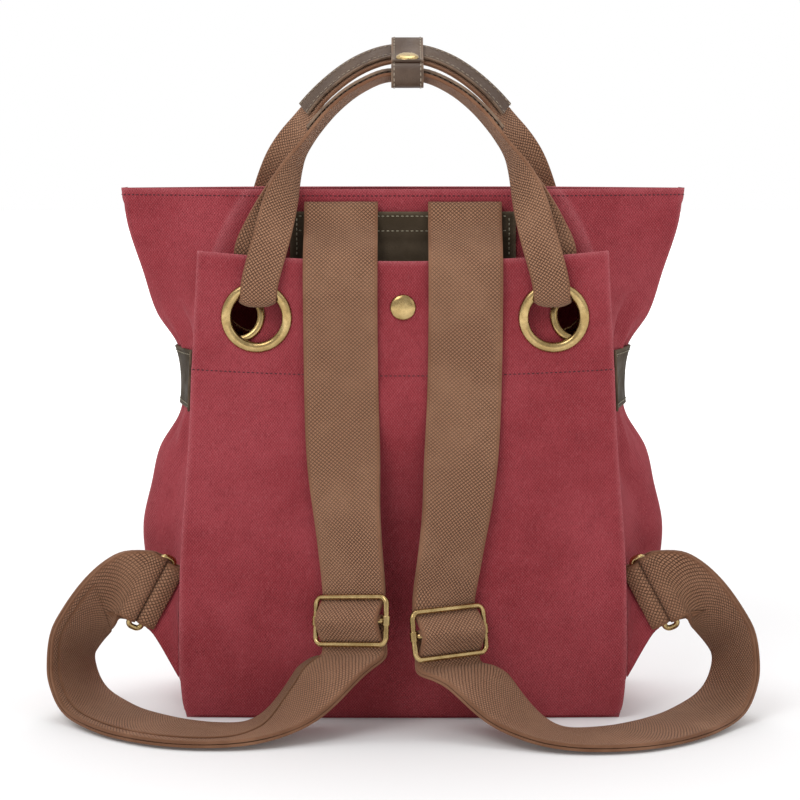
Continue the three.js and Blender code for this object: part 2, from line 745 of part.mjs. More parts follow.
// The keeper is one leather band round both handles, its flap lying on its own start at the strap side.
// forward: distance from the bag's middle plane to the strap side. up: height above the back handle's top.
// Both are shares of handleWidth.
const keeperRoute = [
  { forward: 0.36, up: 0.344 },
  { forward: 0.88, up: 0.336 },
  { forward: 1.144, up: 0.248 },
  { forward: 1.208, up: 0.02 },
  { forward: 1.1, up: -0.2 },
  { forward: 0.56, up: -0.256 },
  { forward: 0, up: -0.2 },
  { forward: -0.56, up: 0.12 },
  { forward: -0.98, up: 0.48 },
  { forward: -1.14, up: 0.8 },
  { forward: -1, up: 1.064 },
  { forward: -0.48, up: 0.784 },
  { forward: -0.04, up: 0.568 },
  { forward: 0.36, up: 0.456 },
  { forward: 0.92, up: 0.428 },
];
const keeperPoint = (row, lift = 0) =>
  vec(keeperShift, -row.forward * handleWidth, backHandleTop + row.up * handleWidth + lift);

function buildKeeper() {
  const rows = keeperRoute.map((row) => ({ p: keeperPoint(row), w: vec(1, 0, 0) }));
  return band(smoothFrames(rows, 2), keeperWidth, leather);
}
place("handle_keeper", buildKeeper(), greyLeather);

function buildKeeperSnap() {
  const [before, under, lip] = keeperRoute.slice(-3);
  const slope = Math.atan2(before.up - lip.up, lip.forward - before.forward);
  const frame = {
    origin: keeperPoint(under, leather / 2 + 3 * seat),
    normal: vec(0, -Math.sin(slope), Math.cos(slope)),
  };
  return turnOnto(domedCap(keeperSnapRadius, snapRise), frame);
}
place("keeper_snap", buildKeeperSnap(), brass);

// The shoulder straps and what they carry, built for the left side and mirrored for the right.
// loopRoute: from the slider down to the floor and out and up to the ring. out: share of loopHalfSpan.
// near and forward: shares of sliderReach and of strapReach. low and high: shares of the slider's height
// and of ringHeight. across: the way to the strap's outer edge.
const loopRoute = [
  { out: 0.213, near: 0.78, forward: 0.22, low: 0.5, high: 0, across: [0.74, -0.67, -0.02], slanted: true },
  { out: 0.298, near: 0.5, forward: 0.5, low: 0.22, high: 0, across: [0.45, -0.87, -0.1] },
  { out: 0.388, near: 0.2, forward: 0.8, low: 0.05, high: 0, across: [0.1, -0.99, 0] },
  { out: 0.48, near: 0, forward: 1, low: 0.015, high: 0, across: [-0.2, -0.98, 0.03] },
  { out: 0.64, near: 0, forward: 0.965, low: 0, high: 0.015, across: [-0.22, -0.97, 0] },
  { out: 0.79, near: 0, forward: 0.76, low: 0, high: 0.02, across: [-0.62, -0.78, 0] },
  { out: 0.905, near: 0, forward: 0.49, low: 0, high: 0.055, across: [-0.85, -0.52, 0.1] },
  { out: 0.965, near: 0, forward: 0.36, low: 0, high: 0.185, across: [-0.62, -0.7, 0.34] },
  { out: 0.985, near: 0, forward: 0.31, low: 0, high: 0.37, across: [-0.43, -0.9, 0.02] },
];

// humpRoute: from the loop's outside over its highest bend to the ring. from: shares of strapWidth from the
// ring's middle.
const humpRoute = [
  { from: [-1.124, 0.152, -0.74], across: [-0.49, -0.77, 0.4] },
  { from: [-0.99, 0.02, -0.526], across: [-0.48, -0.76, 0.43] },
  { from: [-0.82, -0.074, -0.28], across: [-0.34, -0.63, 0.7] },
  { from: [-0.634, -0.104, -0.08], across: [-0.13, -0.37, 0.92] },
  { from: [-0.43, -0.07, 0.064], across: [0.14, -0.06, 0.99] },
];

// hangRoute: from the patch over the panel's edge to the slider. drop: share of the way down from the patch's
// top. near: 0 on the bag's wall, 1 on the panel. clear: extra distance in strap thicknesses. shift and turn:
// shares of the way to the slider's place and of its turn.
const hangRoute = [
  { drop: 0.03, near: 0, clear: 3.5, shift: 0, turn: 0 },
  { drop: 0.078, near: 0.65, clear: 0, shift: 0, turn: 0 },
  { drop: 0.115, near: 1, clear: 0.6, shift: 0, turn: 0 },
  { drop: 0.31, near: 1, clear: 0.5, shift: 0, turn: 0 },
  { drop: 0.52, near: 1, clear: 0.9, shift: 0.15, turn: 0 },
  { drop: 0.725, near: 1, clear: 8.5, shift: 0.6, turn: 0.8 },
];

function sideParts(name) {
  const height = sliderHeight[name];
  const reach = strapReach[name];
  const sliderMiddle = vec(-sliderSpread[name], -sliderReach, height);
  const rise = sliderRise[name];
  const sliderAcross = vec(Math.cos(rad(sliderTurn)), -Math.sin(rad(sliderTurn)), rise).normalize();
  const sliderDown = vec(-0.18, -0.12, -0.97);
  sliderDown.addScaledVector(sliderAcross, -sliderDown.dot(sliderAcross)).normalize();
  const sliderOut = sliderDown.clone().cross(sliderAcross);
  const inSlider = (down, out) =>
    sliderMiddle.clone().addScaledVector(sliderDown, down).addScaledVector(sliderOut, out);

  const barAcross = vec(Math.cos(rad(ringLean)), 0, Math.sin(rad(ringLean)));
  const ringMiddle = vec(-ringOut, -ringForward, ringHeight);
  const ringOutward = vec(-0.8, -0.28, 0.52);
  ringOutward.addScaledVector(barAcross, -ringOutward.dot(barAcross)).normalize();
  const ringNormal = ringOutward.clone().cross(barAcross).normalize();
  const inRing = (out, up) =>
    ringMiddle.clone().addScaledVector(ringOutward, out).addScaledVector(ringNormal, up);

  // The webbing that hangs from the patch
  const wallAt = (z, distance) => bagWall(-1, distance + 0.15)(-strapSpread, z).y;
  const strapEdge = (sign) => bagWall(-1, 0)(-strapSpread + (sign * strapWidth) / 2, patchTop);
  const alongWall = strapEdge(1).sub(strapEdge(-1)).normalize();
  const tailGap = seat + strapThickness / 2;
  const frontGap = 3 * seat + leather + 1.5 * strapThickness;
  const foldGap = (tailGap + frontGap) / 2 + hemExtra;
  const hang = [
    { p: vec(-strapSpread, wallAt(patchTop - tailDepth, tailGap), patchTop - tailDepth), w: alongWall },
    { p: vec(-strapSpread, wallAt(patchTop, tailGap), patchTop), w: alongWall },
    { p: vec(-strapSpread, wallAt(strapTop - 3, tailGap + hemExtra), strapTop - 3), w: alongWall },
    { p: vec(-strapSpread, wallAt(strapTop, foldGap), strapTop - strapThickness / 2), w: alongWall },
    { p: vec(-strapSpread, wallAt(strapTop - 3, frontGap + hemExtra), strapTop - 3.4), w: alongWall },
  ];
  const clearance = seat + strapThickness / 2;
  for (const row of hangRoute) {
    const z = lerp(patchTop, height, row.drop);
    const x = -lerp(strapSpread, sliderSpread[name], row.shift);
    const wall = bagWall(-1, clearance)(x, z).y;
    const panel = panelWall(seat + canvas + clearance)(x, z).y;
    const angle = rad(sliderTurn * row.turn);
    hang.push({
      p: vec(x, lerp(wall, panel, row.near) - row.clear * strapThickness, z),
      w: vec(Math.cos(angle), -Math.sin(angle), rise * row.turn).normalize(),
    });
  }
  const layer = wire + seat + strapThickness / 2;
  const weave = [
    { p: inSlider(-sliderHalfHeight - 4, -layer - 0.3), w: sliderAcross },
    { p: inSlider(-sliderHalfHeight + 1, -layer - 0.3), w: sliderAcross },
    { p: inSlider(-sliderHalfHeight * 0.48, layer * 0.6), w: sliderAcross },
    { p: inSlider(0, layer + strapThickness + 2 * seat), w: sliderAcross },
    { p: inSlider(sliderHalfHeight * 0.48, layer * 0.6), w: sliderAcross },
    { p: inSlider(sliderHalfHeight - 1, -layer - 0.6), w: sliderAcross },
  ];

  // The doubled loop: one layer out to the ring, round its bar, and the other layer back
  const loopRows = loopRoute.map((row) => ({
    p: vec(
      -row.out * loopHalfSpan,
      -row.near * sliderReach - row.forward * reach,
      loopRest + row.low * height + row.high * ringHeight,
    ),
    w: vec(...row.across).normalize(),
    slanted: row.slanted,
  }));
  loopRows.unshift({ p: inSlider(sliderHalfHeight + 7, -layer - 1.4), w: sliderAcross, slanted: true });
  for (const row of humpRoute) {
    const p = vec(...row.from).multiplyScalar(strapWidth).add(ringMiddle);
    loopRows.push({ p, w: vec(...row.across).normalize(), slanted: true });
  }
  loopRows.push({ p: inRing(ringHalfGap + 8, 0), w: barAcross, slanted: true });
  const loop = smoothFrames(loopRows, 2);
  const half = (strapThickness + seat) / 2 + 0.1;
  const outLayer = shifted(loop, half);
  const backLayer = returned(shifted(loop, -half));
  const around = (ringWire + seat + strapThickness / 2) * 1.05;
  const bendAngles = [-90, -135, 180, 135, 90];
  const bendAt = (side, angle) =>
    inRing(side * (ringHalfGap + Math.cos(rad(angle)) * around), Math.sin(rad(angle)) * around);
  const bend = [-1, ...bendAngles, 1].map((angle) => ({
    p: Math.abs(angle) === 1 ? inRing(ringHalfGap + 3, angle * around) : bendAt(1, angle),
    w: barAcross,
  }));
  const curl = layer * 1.08;
  const inCurl = (angle) => inSlider(Math.cos(rad(angle)) * curl, Math.sin(rad(angle)) * curl);
  const wrap = [inSlider(sliderHalfHeight - 3, -layer - 2.4), inSlider(5, -layer - 0.6)]
    .concat([-90, -135, 180, 135, 90].map(inCurl))
    .map((p) => ({ p, w: sliderAcross }));
  const strap = band(
    [
      ...smoothFrames([...hang, ...weave], 2),
      ...outLayer,
      ...withAxes([outLayer.at(-1), ...bend.map(({ p, w }) => ({ p, w })), backLayer[0]].map(asRow)).slice(1, -1),
      ...backLayer,
      ...smoothFrames(wrap, 2),
    ],
    strapWidth,
    strapThickness,
  );

  // A rounded rectangle of wire, its long side along one direction
  const wireLoop = (middle, long, short, halfLong, halfShort, radius, corner) => {
    const path = [];
    for (const [a, b, start] of [[1, 1, 0], [-1, 1, 1], [-1, -1, 2], [1, -1, 3]]) {
      for (const part of [0, 0.5, 1]) {
        const angle = ((start + part) * Math.PI) / 2;
        path.push([a * (halfLong - corner) + Math.cos(angle) * corner, b * (halfShort - corner) + Math.sin(angle) * corner]);
      }
    }
    const normal = long.clone().cross(short).normalize();
    const count = path.length;
    const points = [];
    const faces = [];
    const sides = 8;
    path.forEach(([a, b], i) => {
      const [pa, pb] = path[(i + count - 1) % count];
      const [na, nb] = path[(i + 1) % count];
      const along = long.clone().multiplyScalar(na - pa).addScaledVector(short, nb - pb).normalize();
      const out = along.clone().cross(normal);
      const centre = middle.clone().addScaledVector(long, a).addScaledVector(short, b);
      for (let k = 0; k < sides; k++) {
        const turn = (k / sides) * 2 * Math.PI;
        points.push(
          centre.clone().addScaledVector(out, Math.cos(turn) * radius).addScaledVector(normal, Math.sin(turn) * radius),
        );
      }
    });
    for (let i = 0; i < count; i++) {
      for (let k = 0; k < sides; k++) {
        const a = i * sides + k;
        const b = i * sides + ((k + 1) % sides);
        const c = ((i + 1) % count) * sides + k;
        const d = ((i + 1) % count) * sides + ((k + 1) % sides);
        faces.push([a, d, b], [a, c, d]);
      }
    }
    return solidFrom(points, faces);
  };
  const halfLong = strapWidth / 2 + slack + wire;
  const frameLoop = wireLoop(sliderMiddle, sliderAcross, sliderDown, halfLong, sliderHalfHeight, wire, 4);
  const bar = new THREE.CylinderGeometry(wire * 0.95, wire * 0.95, 2 * halfLong, 8);
  bar.applyQuaternion(new THREE.Quaternion().setFromUnitVectors(vec(0, 1, 0), sliderAcross));
  bar.translate(sliderMiddle.x, sliderMiddle.y, sliderMiddle.z);
  const slider = joinAll([frameLoop, bar]);
  const ringHalfLong = strapWidth / 2 + slack + ringWire;
  const ring = wireLoop(ringMiddle, barAcross, ringOutward, ringHalfLong, ringHalfGap, ringWire, 3);

  // The tab loops round the ring's inner bar and holds the ear's slanting edge between its ends
  const tabShift = barAcross.clone().multiplyScalar(-(strapWidth - tabWidth) / 2);
  const inTab = (out, up) => ({ p: inRing(out, up).add(tabShift), w: barAcross });
  const sewn = canvas / 2 + seat + strapThickness / 2;
  const tab = band(
    smoothFrames(
      [
        inTab(-ringHalfGap - 7.5, sewn),
        inTab(-ringHalfGap - 3, around),
        ...[...bendAngles].reverse().map((angle) => ({ p: bendAt(-1, angle).add(tabShift), w: barAcross })),
        inTab(-ringHalfGap - 3, -around),
        inTab(-ringHalfGap - 7.5, -sewn),
      ],
      1,
    ),
    tabWidth,
    strapThickness,
  );

  // The ear runs from the side seam to the tab
  const earShares = [0, 0.25, 0.5, 0.75, 1];
  const seam = (share) => skinOut(earTurn, lerp(earFoot, earTop, share) / bagHeight, seat + canvas / 2);
  const slant = (share, out) =>
    inRing(out, 0).addScaledVector(barAcross, lerp(-strapWidth / 2 - 1, -strapWidth / 2 + tabWidth, share));
  const earFace = (side) =>
    earShares.map((share) => {
      const ends = [seam(share), slant(share, -ringHalfGap - 9), slant(share, -ringHalfGap - around - 0.5)];
      return ends.map((p) => p.addScaledVector(ringNormal, (side * canvas) / 2));
    });
  const ear = sheet(earFace(1), earFace(-1));

  return { strap, slider, ring, tab, ear };
}

for (const name of sideNames) {
  const parts = sideParts(name);
  const turn = (geometry) => (name === "left" ? geometry : mirrored(geometry));
  place("shoulder_strap_" + name, turn(parts.strap), brownWebbing);
  place("slider_" + name, turn(parts.slider), brass);
  place("strap_ring_" + name, turn(parts.ring), brass);
  place("ring_tab_" + name, turn(parts.tab), brownWebbing);
  place("strap_ear_" + name, turn(parts.ear), crimson);
}

export default bag;
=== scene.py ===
import itertools
import math

import bmesh
import bpy
import numpy
from mathutils import Matrix, Vector, noise


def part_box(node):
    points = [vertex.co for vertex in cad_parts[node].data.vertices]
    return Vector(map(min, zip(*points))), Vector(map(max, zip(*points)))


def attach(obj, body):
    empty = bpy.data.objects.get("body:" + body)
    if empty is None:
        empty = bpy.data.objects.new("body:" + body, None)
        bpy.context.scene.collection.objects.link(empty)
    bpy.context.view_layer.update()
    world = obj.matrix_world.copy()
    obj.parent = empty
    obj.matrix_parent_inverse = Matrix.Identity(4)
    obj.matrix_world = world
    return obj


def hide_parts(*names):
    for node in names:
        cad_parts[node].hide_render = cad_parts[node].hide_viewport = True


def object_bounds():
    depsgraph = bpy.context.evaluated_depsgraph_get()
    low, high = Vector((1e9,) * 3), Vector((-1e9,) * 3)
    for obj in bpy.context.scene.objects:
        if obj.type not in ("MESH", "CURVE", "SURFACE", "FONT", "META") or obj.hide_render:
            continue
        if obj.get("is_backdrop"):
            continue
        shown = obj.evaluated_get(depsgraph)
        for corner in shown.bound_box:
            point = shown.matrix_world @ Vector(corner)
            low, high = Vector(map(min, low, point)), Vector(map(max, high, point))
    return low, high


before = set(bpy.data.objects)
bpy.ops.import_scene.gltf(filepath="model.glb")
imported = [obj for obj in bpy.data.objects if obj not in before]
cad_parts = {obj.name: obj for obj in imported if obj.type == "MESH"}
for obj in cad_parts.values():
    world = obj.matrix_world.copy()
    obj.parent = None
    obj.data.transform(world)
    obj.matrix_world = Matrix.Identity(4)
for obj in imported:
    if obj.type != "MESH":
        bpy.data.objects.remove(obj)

mm = 0.001
cadLow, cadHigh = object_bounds()
print("frame loaded,", len(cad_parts), "nodes")


# camera, floor and light

studio = {
    "cameraPlace": (-0.002, -1.660, 0.425),
    "cameraTilt": 82.7,
    "cameraClips": (0.05, 50),
    "lens": 108,
    "floorSize": 14,
    "floorColour": (0.84, 0.84, 0.84, 1),
    "floorRoughness": 0.9,
    "floorGlow": 0.05,
    "farGlow": 0.75,
    "glowRange": (0.4, 1.6),
    "skyBehind": (1, 1, 1, 1),
    "skyBefore": (0.62, 0.62, 0.63, 1),
    "skyRange": (-0.45, 0.05),
    "lightSize": 1.1,
    "lightAim": (0, 0, 0.2),
    "keyPlace": (-0.9, -1.5, 1.9),
    "keyPower": 17,
    "fillPlace": (1.5, -1.2, 1.0),
    "fillPower": 2,
    "topPlace": (0.0, 0.35, 1.9),
    "topPower": 9,
}


def addObject(name, data):
    made = bpy.data.objects.new(name, data)
    bpy.context.scene.collection.objects.link(made)
    return made


def areaLight(name, values):
    data = bpy.data.lights.new(name, "AREA")
    data.energy = values[name + "Power"]
    data.size = values["lightSize"]
    lamp = addObject(name, data)
    lamp.location = values[name + "Place"]
    aim = Vector(values["lightAim"]) - Vector(values[name + "Place"])
    lamp.rotation_euler = aim.to_track_quat("-Z", "Y").to_euler()


def makeStudio(values):
    data = bpy.data.cameras.new("camera")
    data.lens = values["lens"]
    data.clip_start, data.clip_end = values["cameraClips"]
    camera = addObject("camera", data)
    camera.location = values["cameraPlace"]
    camera.rotation_euler = (math.radians(values["cameraTilt"]), 0, 0)
    bpy.context.scene.camera = camera

    bm = bmesh.new()
    bmesh.ops.create_grid(bm, x_segments=2, y_segments=2, size=values["floorSize"] / 2)
    mesh = bpy.data.meshes.new("floor")
    bm.to_mesh(mesh)
    bm.free()
    floor = addObject("floor", mesh)
    material = bpy.data.materials.new("pale floor")
    material.use_nodes = True
    shader = material.node_tree.nodes["Principled BSDF"]
    shader.inputs["Base Color"].default_value = values["floorColour"]
    shader.inputs["Roughness"].default_value = values["floorRoughness"]
    shader.inputs["Emission Color"].default_value = (1, 1, 1, 1)
    tree = material.node_tree
    place = addNode(tree, "TexCoord").outputs["Object"]
    away = addNode(tree, "VectorMath", {0: place}, operation="LENGTH").outputs["Value"]
    glow = spread(tree, away, *values["glowRange"], values["floorGlow"], values["farGlow"])
    tree.links.new(glow, shader.inputs["Emission Strength"])
    mesh.materials.append(material)
    floor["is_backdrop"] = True

    world = bpy.data.worlds.new("studio")
    world.use_nodes = True
    tree = world.node_tree
    facing = addNode(tree, "SeparateXYZ", {0: addNode(tree, "TexCoord").outputs["Generated"]})
    white = spread(tree, facing.outputs[1], *values["skyRange"])
    sky = blendColour(tree, white, values["skyBefore"], values["skyBehind"])
    tree.links.new(sky, tree.nodes["Background"].inputs["Color"])
    bpy.context.scene.world = world
    for name in ("key", "fill", "top"):
        areaLight(name, values)
    bpy.context.scene.view_settings.view_transform = "Standard"


# node helpers for the materials

def addNode(tree, kind, inputs=None, **settings):
    made = tree.nodes.new("ShaderNode" + kind)
    for key, value in settings.items():
        setattr(made, key, value)
    for key, value in (inputs or {}).items():
        if isinstance(value, bpy.types.NodeSocket):
            tree.links.new(value, made.inputs[key])
        else:
            made.inputs[key].default_value = value
    return made


def calc(tree, operation, a, b=0.0, c=0.0):
    return addNode(tree, "Math", {0: a, 1: b, 2: c}, operation=operation).outputs[0]


def blendColour(tree, factor, a, b):
    return addNode(tree, "Mix", {0: factor, 6: a, 7: b}, data_type="RGBA").outputs[2]


def spread(tree, value, low, high, toLow=0.0, toHigh=1.0):  # a range stretched to another, smoothly
    made = addNode(tree, "MapRange", {0: value, 1: low, 2: high, 3: toLow, 4: toHigh})
    made.interpolation_type = "SMOOTHSTEP"
    return made.outputs[0]


def noiseAt(tree, where, scale, detail, rough, stretch=None):
    if stretch:
        where = addNode(tree, "Mapping", {"Vector": where, "Scale": stretch}).outputs[0]
    inputs = {"Vector": where, "Scale": scale, "Detail": detail, "Roughness": rough}
    return addNode(tree, "TexNoise", inputs).outputs[0]


def noisesAt(tree, where, table):
    return {name: noiseAt(tree, where, *row) for name, row in table.items()}


def layered(tree, colour, patterns, values):
    # colours laid over one another, each where its pattern is strong
    for pattern, low, high, most, over in values["layers"]:
        share = spread(tree, patterns[pattern], low, high, 0.0, most)
        colour = blendColour(tree, share, colour, values[over])
    return colour


shaderValues = {  # key in a look, and the value where the look has none
    "Roughness": ("roughness", 0.5),
    "Metallic": ("metallic", 0.0),
    "Sheen Weight": ("sheen", 0.0),
    "Sheen Roughness": ("sheenRoughness", 0.5),
    "Sheen Tint": ("sheenTint", (1, 1, 1, 1)),
    "Specular IOR Level": ("specular", 0.5),
}


def newMaterial(name, values):
    material = bpy.data.materials.new(name)
    material.use_nodes = True
    tree = material.node_tree
    shader = tree.nodes["Principled BSDF"]
    for name, (key, usual) in shaderValues.items():
        shader.inputs[name].default_value = values.get(key, usual)
    return material, tree, shader, addNode(tree, "TexCoord").outputs["Object"]


def wornTo(tree, colour, over, pattern, values):  # the colour over it where the cloth or leather is worn
    worn = addNode(tree, "Attribute", attribute_name="worn").outputs["Fac"]
    share = calc(tree, "MULTIPLY", worn, spread(tree, pattern, *values["wornRange"]))
    return blendColour(tree, share, colour, over)


def bumpTo(tree, shader, height, distance, strength=1.0, under=None):
    inputs = {"Height": height, "Distance": distance, "Strength": strength}
    if under is not None:
        inputs["Normal"] = under
    made = addNode(tree, "Bump", inputs)
    tree.links.new(made.outputs[0], shader.inputs["Normal"])
    return made.outputs[0]


makeStudio(studio)
print("studio ready")


# the materials

canvasLook = {
    "roughness": 0.95,
    "sheen": 0.12,
    "sheenRoughness": 0.4,
    "sheenTint": (1.0, 0.55, 0.6, 1),
    "specular": 0.15,
    "main": (0.268, 0.0325, 0.041, 1),
    "washed": (0.335, 0.050, 0.062, 1),
    # deep: a darker red for the random blotches and the grain's dark lines, and painted shade in the weave's
    # valleys
    "deep": (0.140, 0.0145, 0.020, 1),
    # a light pink painted as highlights on the weave's crests and on the slub flecks, also laid along the grain
    # and on worn edges
    "highlightAndWear": (0.53, 0.18, 0.195, 1),
    "weavePitch": 0.0019,
    "weftTurn": 0.8,
    "wobbleScale": 160.0,
    "wobble": 0.0009,
    "faceRange": (0.66, 0.74),
    "wornRange": (0.3, 0.7),
    "weaveBump": 0.0003,
    "grainBump": 0.0003,
    "grainStrength": 0.6,
    "noises": {  # scale, detail, roughness, stretch
        "cloudy": (14.0, 4.0, 0.6),
        "blotchy": (75.0, 4.0, 0.65),
        "grain": (1150.0, 2.0, 0.6, (1.0, 1.0, 0.3)),
        "slub": (1500.0, 2.0, 0.65, (1.0, 1.0, 0.6)),
        "fuzz": (1900.0, 2.0, 0.7),
    },
    "layers": [  # pattern, where it starts and is full, most, colour
        ("cloudy", 0.38, 0.66, 1.0, "washed"),
        ("blotchy", 0.45, 0.72, 0.4, "washed"),
        ("blotchy", 0.5, 0.3, 0.16, "deep"),
        # the weave lays painted shade in its valleys and painted highlights on its crests
        ("weave", 0.5, 0.1, 0.42, "deep"),
        ("weave", 0.6, 1.0, 0.2, "highlightAndWear"),
        ("grain", 0.48, 0.3, 0.32, "deep"),
        ("grain", 0.54, 0.76, 0.14, "highlightAndWear"),
        # slub flecks: painted highlights
        ("slub", 0.58, 0.78, 0.38, "highlightAndWear"),
    ],
}


def canvasMaterial(values):
    material, tree, shader, place = newMaterial("crimson canvas", values)
    inputs = {"Vector": place, "Scale": values["wobbleScale"], "Detail": 2.0}
    wobble = addNode(tree, "TexNoise", inputs).outputs[1]
    wobbleBy = (values["wobble"],) * 3
    shift = addNode(tree, "VectorMath", {0: wobble, 1: wobbleBy}, operation="MULTIPLY").outputs[0]
    moved = addNode(tree, "VectorMath", {0: place, 1: shift}, operation="ADD").outputs[0]
    split = addNode(tree, "SeparateXYZ", {0: moved})
    facing = addNode(tree, "SeparateXYZ", {0: addNode(tree, "NewGeometry").outputs["Normal"]})
    sideways = spread(tree, calc(tree, "ABSOLUTE", facing.outputs[0]), *values["faceRange"])
    upright = spread(tree, calc(tree, "ABSOLUTE", facing.outputs[2]), *values["faceRange"])
    across = addNode(tree, "Mix", {0: sideways, 2: split.outputs[0], 3: split.outputs[1]}).outputs[0]
    along = addNode(tree, "Mix", {0: upright, 2: split.outputs[2], 3: split.outputs[1]}).outputs[0]
    turn = 2 * math.pi / values["weavePitch"]
    warp = calc(tree, "SINE", calc(tree, "MULTIPLY", across, turn))
    weft = calc(tree, "SINE", calc(tree, "MULTIPLY", along, turn * values["weftTurn"]))
    weave = calc(tree, "MULTIPLY_ADD", calc(tree, "MULTIPLY", warp, weft), 0.5, 0.5)

    # the weave pattern gives painted shade and painted highlights in the colour, besides its bump
    patterns = {"weave": weave, **noisesAt(tree, place, values["noises"])}
    colour = layered(tree, values["main"], patterns, values)
    colour = wornTo(tree, colour, values["highlightAndWear"], patterns["fuzz"], values)
    tree.links.new(colour, shader.inputs["Base Color"])
    grain = calc(tree, "ADD", calc(tree, "ADD", patterns["grain"], patterns["slub"]), patterns["fuzz"])
    first = bumpTo(tree, shader, weave, values["weaveBump"])
    bumpTo(tree, shader, grain, values["grainBump"], values["grainStrength"], first)
    return material


webbingLook = {
    "roughness": 0.86,
    "sheen": 0.15,
    "sheenRoughness": 0.4,
    "sheenTint": (1.0, 0.8, 0.65, 1),
    "specular": 0.2,
    # grooveShade is painted shade in the weave's grooves; top is painted highlight on the bead tips, and is
    # also laid in random lighter patches
    "grooveShade": (0.095, 0.044, 0.024, 1),
    "main": (0.270, 0.122, 0.064, 1),
    "top": (0.43, 0.232, 0.138, 1),
    "pitchAcross": 2.8,
    "pitchAlong": 2.5,
    "warpScale": 0.35,
    "warp": 0.5,
    "beadRound": 0.46,
    "wornHeight": 0.45,
    "highlightTipRange": (0.45, 1.0),
    "threadRange": (0.3, 0.62),
    "relief": 0.0006,
    "fuzzBump": 0.0003,
    "fuzzStrength": 0.6,
    "thread": (1.4, 3.0, 0.65, (6.0, 1.2, 1.0)),
    "noises": {"patchy": (24.0, 3.0, 0.6), "fuzz": (1300.0, 2.0, 0.6)},
    "layers": [("patchy", 0.4, 0.7, 0.3, "top")],
}


def webbingMaterial(values):
    material, tree, shader, place = newMaterial("brown webbing", values)
    flat = addNode(tree, "UVMap", uv_map="cloth").outputs[0]
    inputs = {"Vector": flat, "Scale": values["warpScale"], "Detail": 1.0}
    warped = addNode(tree, "TexNoise", inputs).outputs[1]
    warp = (values["warp"], values["warp"], 0.0)
    shift = addNode(tree, "VectorMath", {0: warped, 1: warp}, operation="MULTIPLY").outputs[0]
    moved = addNode(tree, "VectorMath", {0: flat, 1: shift}, operation="ADD").outputs[0]
    split = addNode(tree, "SeparateXYZ", {0: moved})
    u = calc(tree, "DIVIDE", split.outputs[0], values["pitchAcross"])
    v = calc(tree, "DIVIDE", split.outputs[1], values["pitchAlong"])

    def ridge(value):  # 1 in the middle of each unit, 0 at its ends
        return calc(tree, "PINGPONG", calc(tree, "MULTIPLY", value, 2.0), 1.0)

    diamond = calc(tree, "MINIMUM", ridge(calc(tree, "ADD", u, v)), ridge(calc(tree, "SUBTRACT", u, v)))
    rounded = spread(tree, diamond, 0.0, values["beadRound"])
    worn = addNode(tree, "Attribute", attribute_name="worn").outputs["Fac"]
    height = addNode(tree, "Mix", {0: worn, 2: rounded, 3: values["wornHeight"]}).outputs[0]

    thread = noiseAt(tree, flat, *values["thread"])
    patterns = noisesAt(tree, place, values["noises"])
    # painted shade in the grooves, the plain colour on the beads, and painted highlight on the bead tips where
    # the thread noise is high
    colour = blendColour(tree, height, values["grooveShade"], values["main"])
    tipHighlight = spread(tree, height, *values["highlightTipRange"])
    tip = calc(tree, "MULTIPLY", tipHighlight, spread(tree, thread, *values["threadRange"]))
    colour = layered(tree, blendColour(tree, tip, colour, values["top"]), patterns, values)
    tree.links.new(colour, shader.inputs["Base Color"])
    under = bumpTo(tree, shader, height, values["relief"])
    fuzz = calc(tree, "ADD", thread, patterns["fuzz"])
    bumpTo(tree, shader, fuzz, values["fuzzBump"], values["fuzzStrength"], under)
    return material


leatherLook = {
    "poreScale": 1.6,
    "poreStrength": 0.5,
    "wornRange": (0.25, 0.6),
    "roughBelow": 0.1,
    "roughSpan": 0.22,
    "noises": {"cloudy": (22.0, 4.0, 0.6), "smudge": (90.0, 3.0, 0.6)},
    "layers": [("cloudy", 0.35, 0.7, 1.0, "light"), ("cells", 0.25, 0.0, 0.25, "light")],
}
darkLeatherLook = {
    **leatherLook,
    "roughness": 0.68,
    "specular": 0.08,
    "main": (0.040, 0.028, 0.0165, 1),
    "light": (0.078, 0.057, 0.037, 1),
    "edge": (0.13, 0.095, 0.062, 1),
    "grainScale": 900.0,
    "grainBump": 0.00018,
}
greyLeatherLook = {
    **leatherLook,
    "roughness": 0.58,
    "specular": 0.3,
    "main": (0.072, 0.043, 0.028, 1),
    "light": (0.130, 0.086, 0.058, 1),
    "edge": (0.22, 0.145, 0.095, 1),
    "grainScale": 800.0,
    "grainBump": 0.0002,
}


def leatherMaterial(name, values):
    material, tree, shader, place = newMaterial(name, values)
    cells = addNode(tree, "TexVoronoi", {"Vector": place, "Scale": values["grainScale"]}).outputs["Distance"]
    pores = noiseAt(tree, place, values["grainScale"] * values["poreScale"], 3.0, 0.6)
    patterns = {"cells": cells, **noisesAt(tree, place, values["noises"])}
    smudge = patterns["smudge"]
    colour = layered(tree, values["main"], patterns, values)
    colour = wornTo(tree, colour, values["edge"], smudge, values)
    tree.links.new(colour, shader.inputs["Base Color"])
    low = values["roughness"] - values["roughBelow"]
    rough = spread(tree, smudge, 0.3, 0.7, low, low + values["roughSpan"])
    tree.links.new(rough, shader.inputs["Roughness"])
    under = bumpTo(tree, shader, cells, values["grainBump"])
    bumpTo(tree, shader, pores, values["grainBump"], values["poreStrength"], under)
    return material


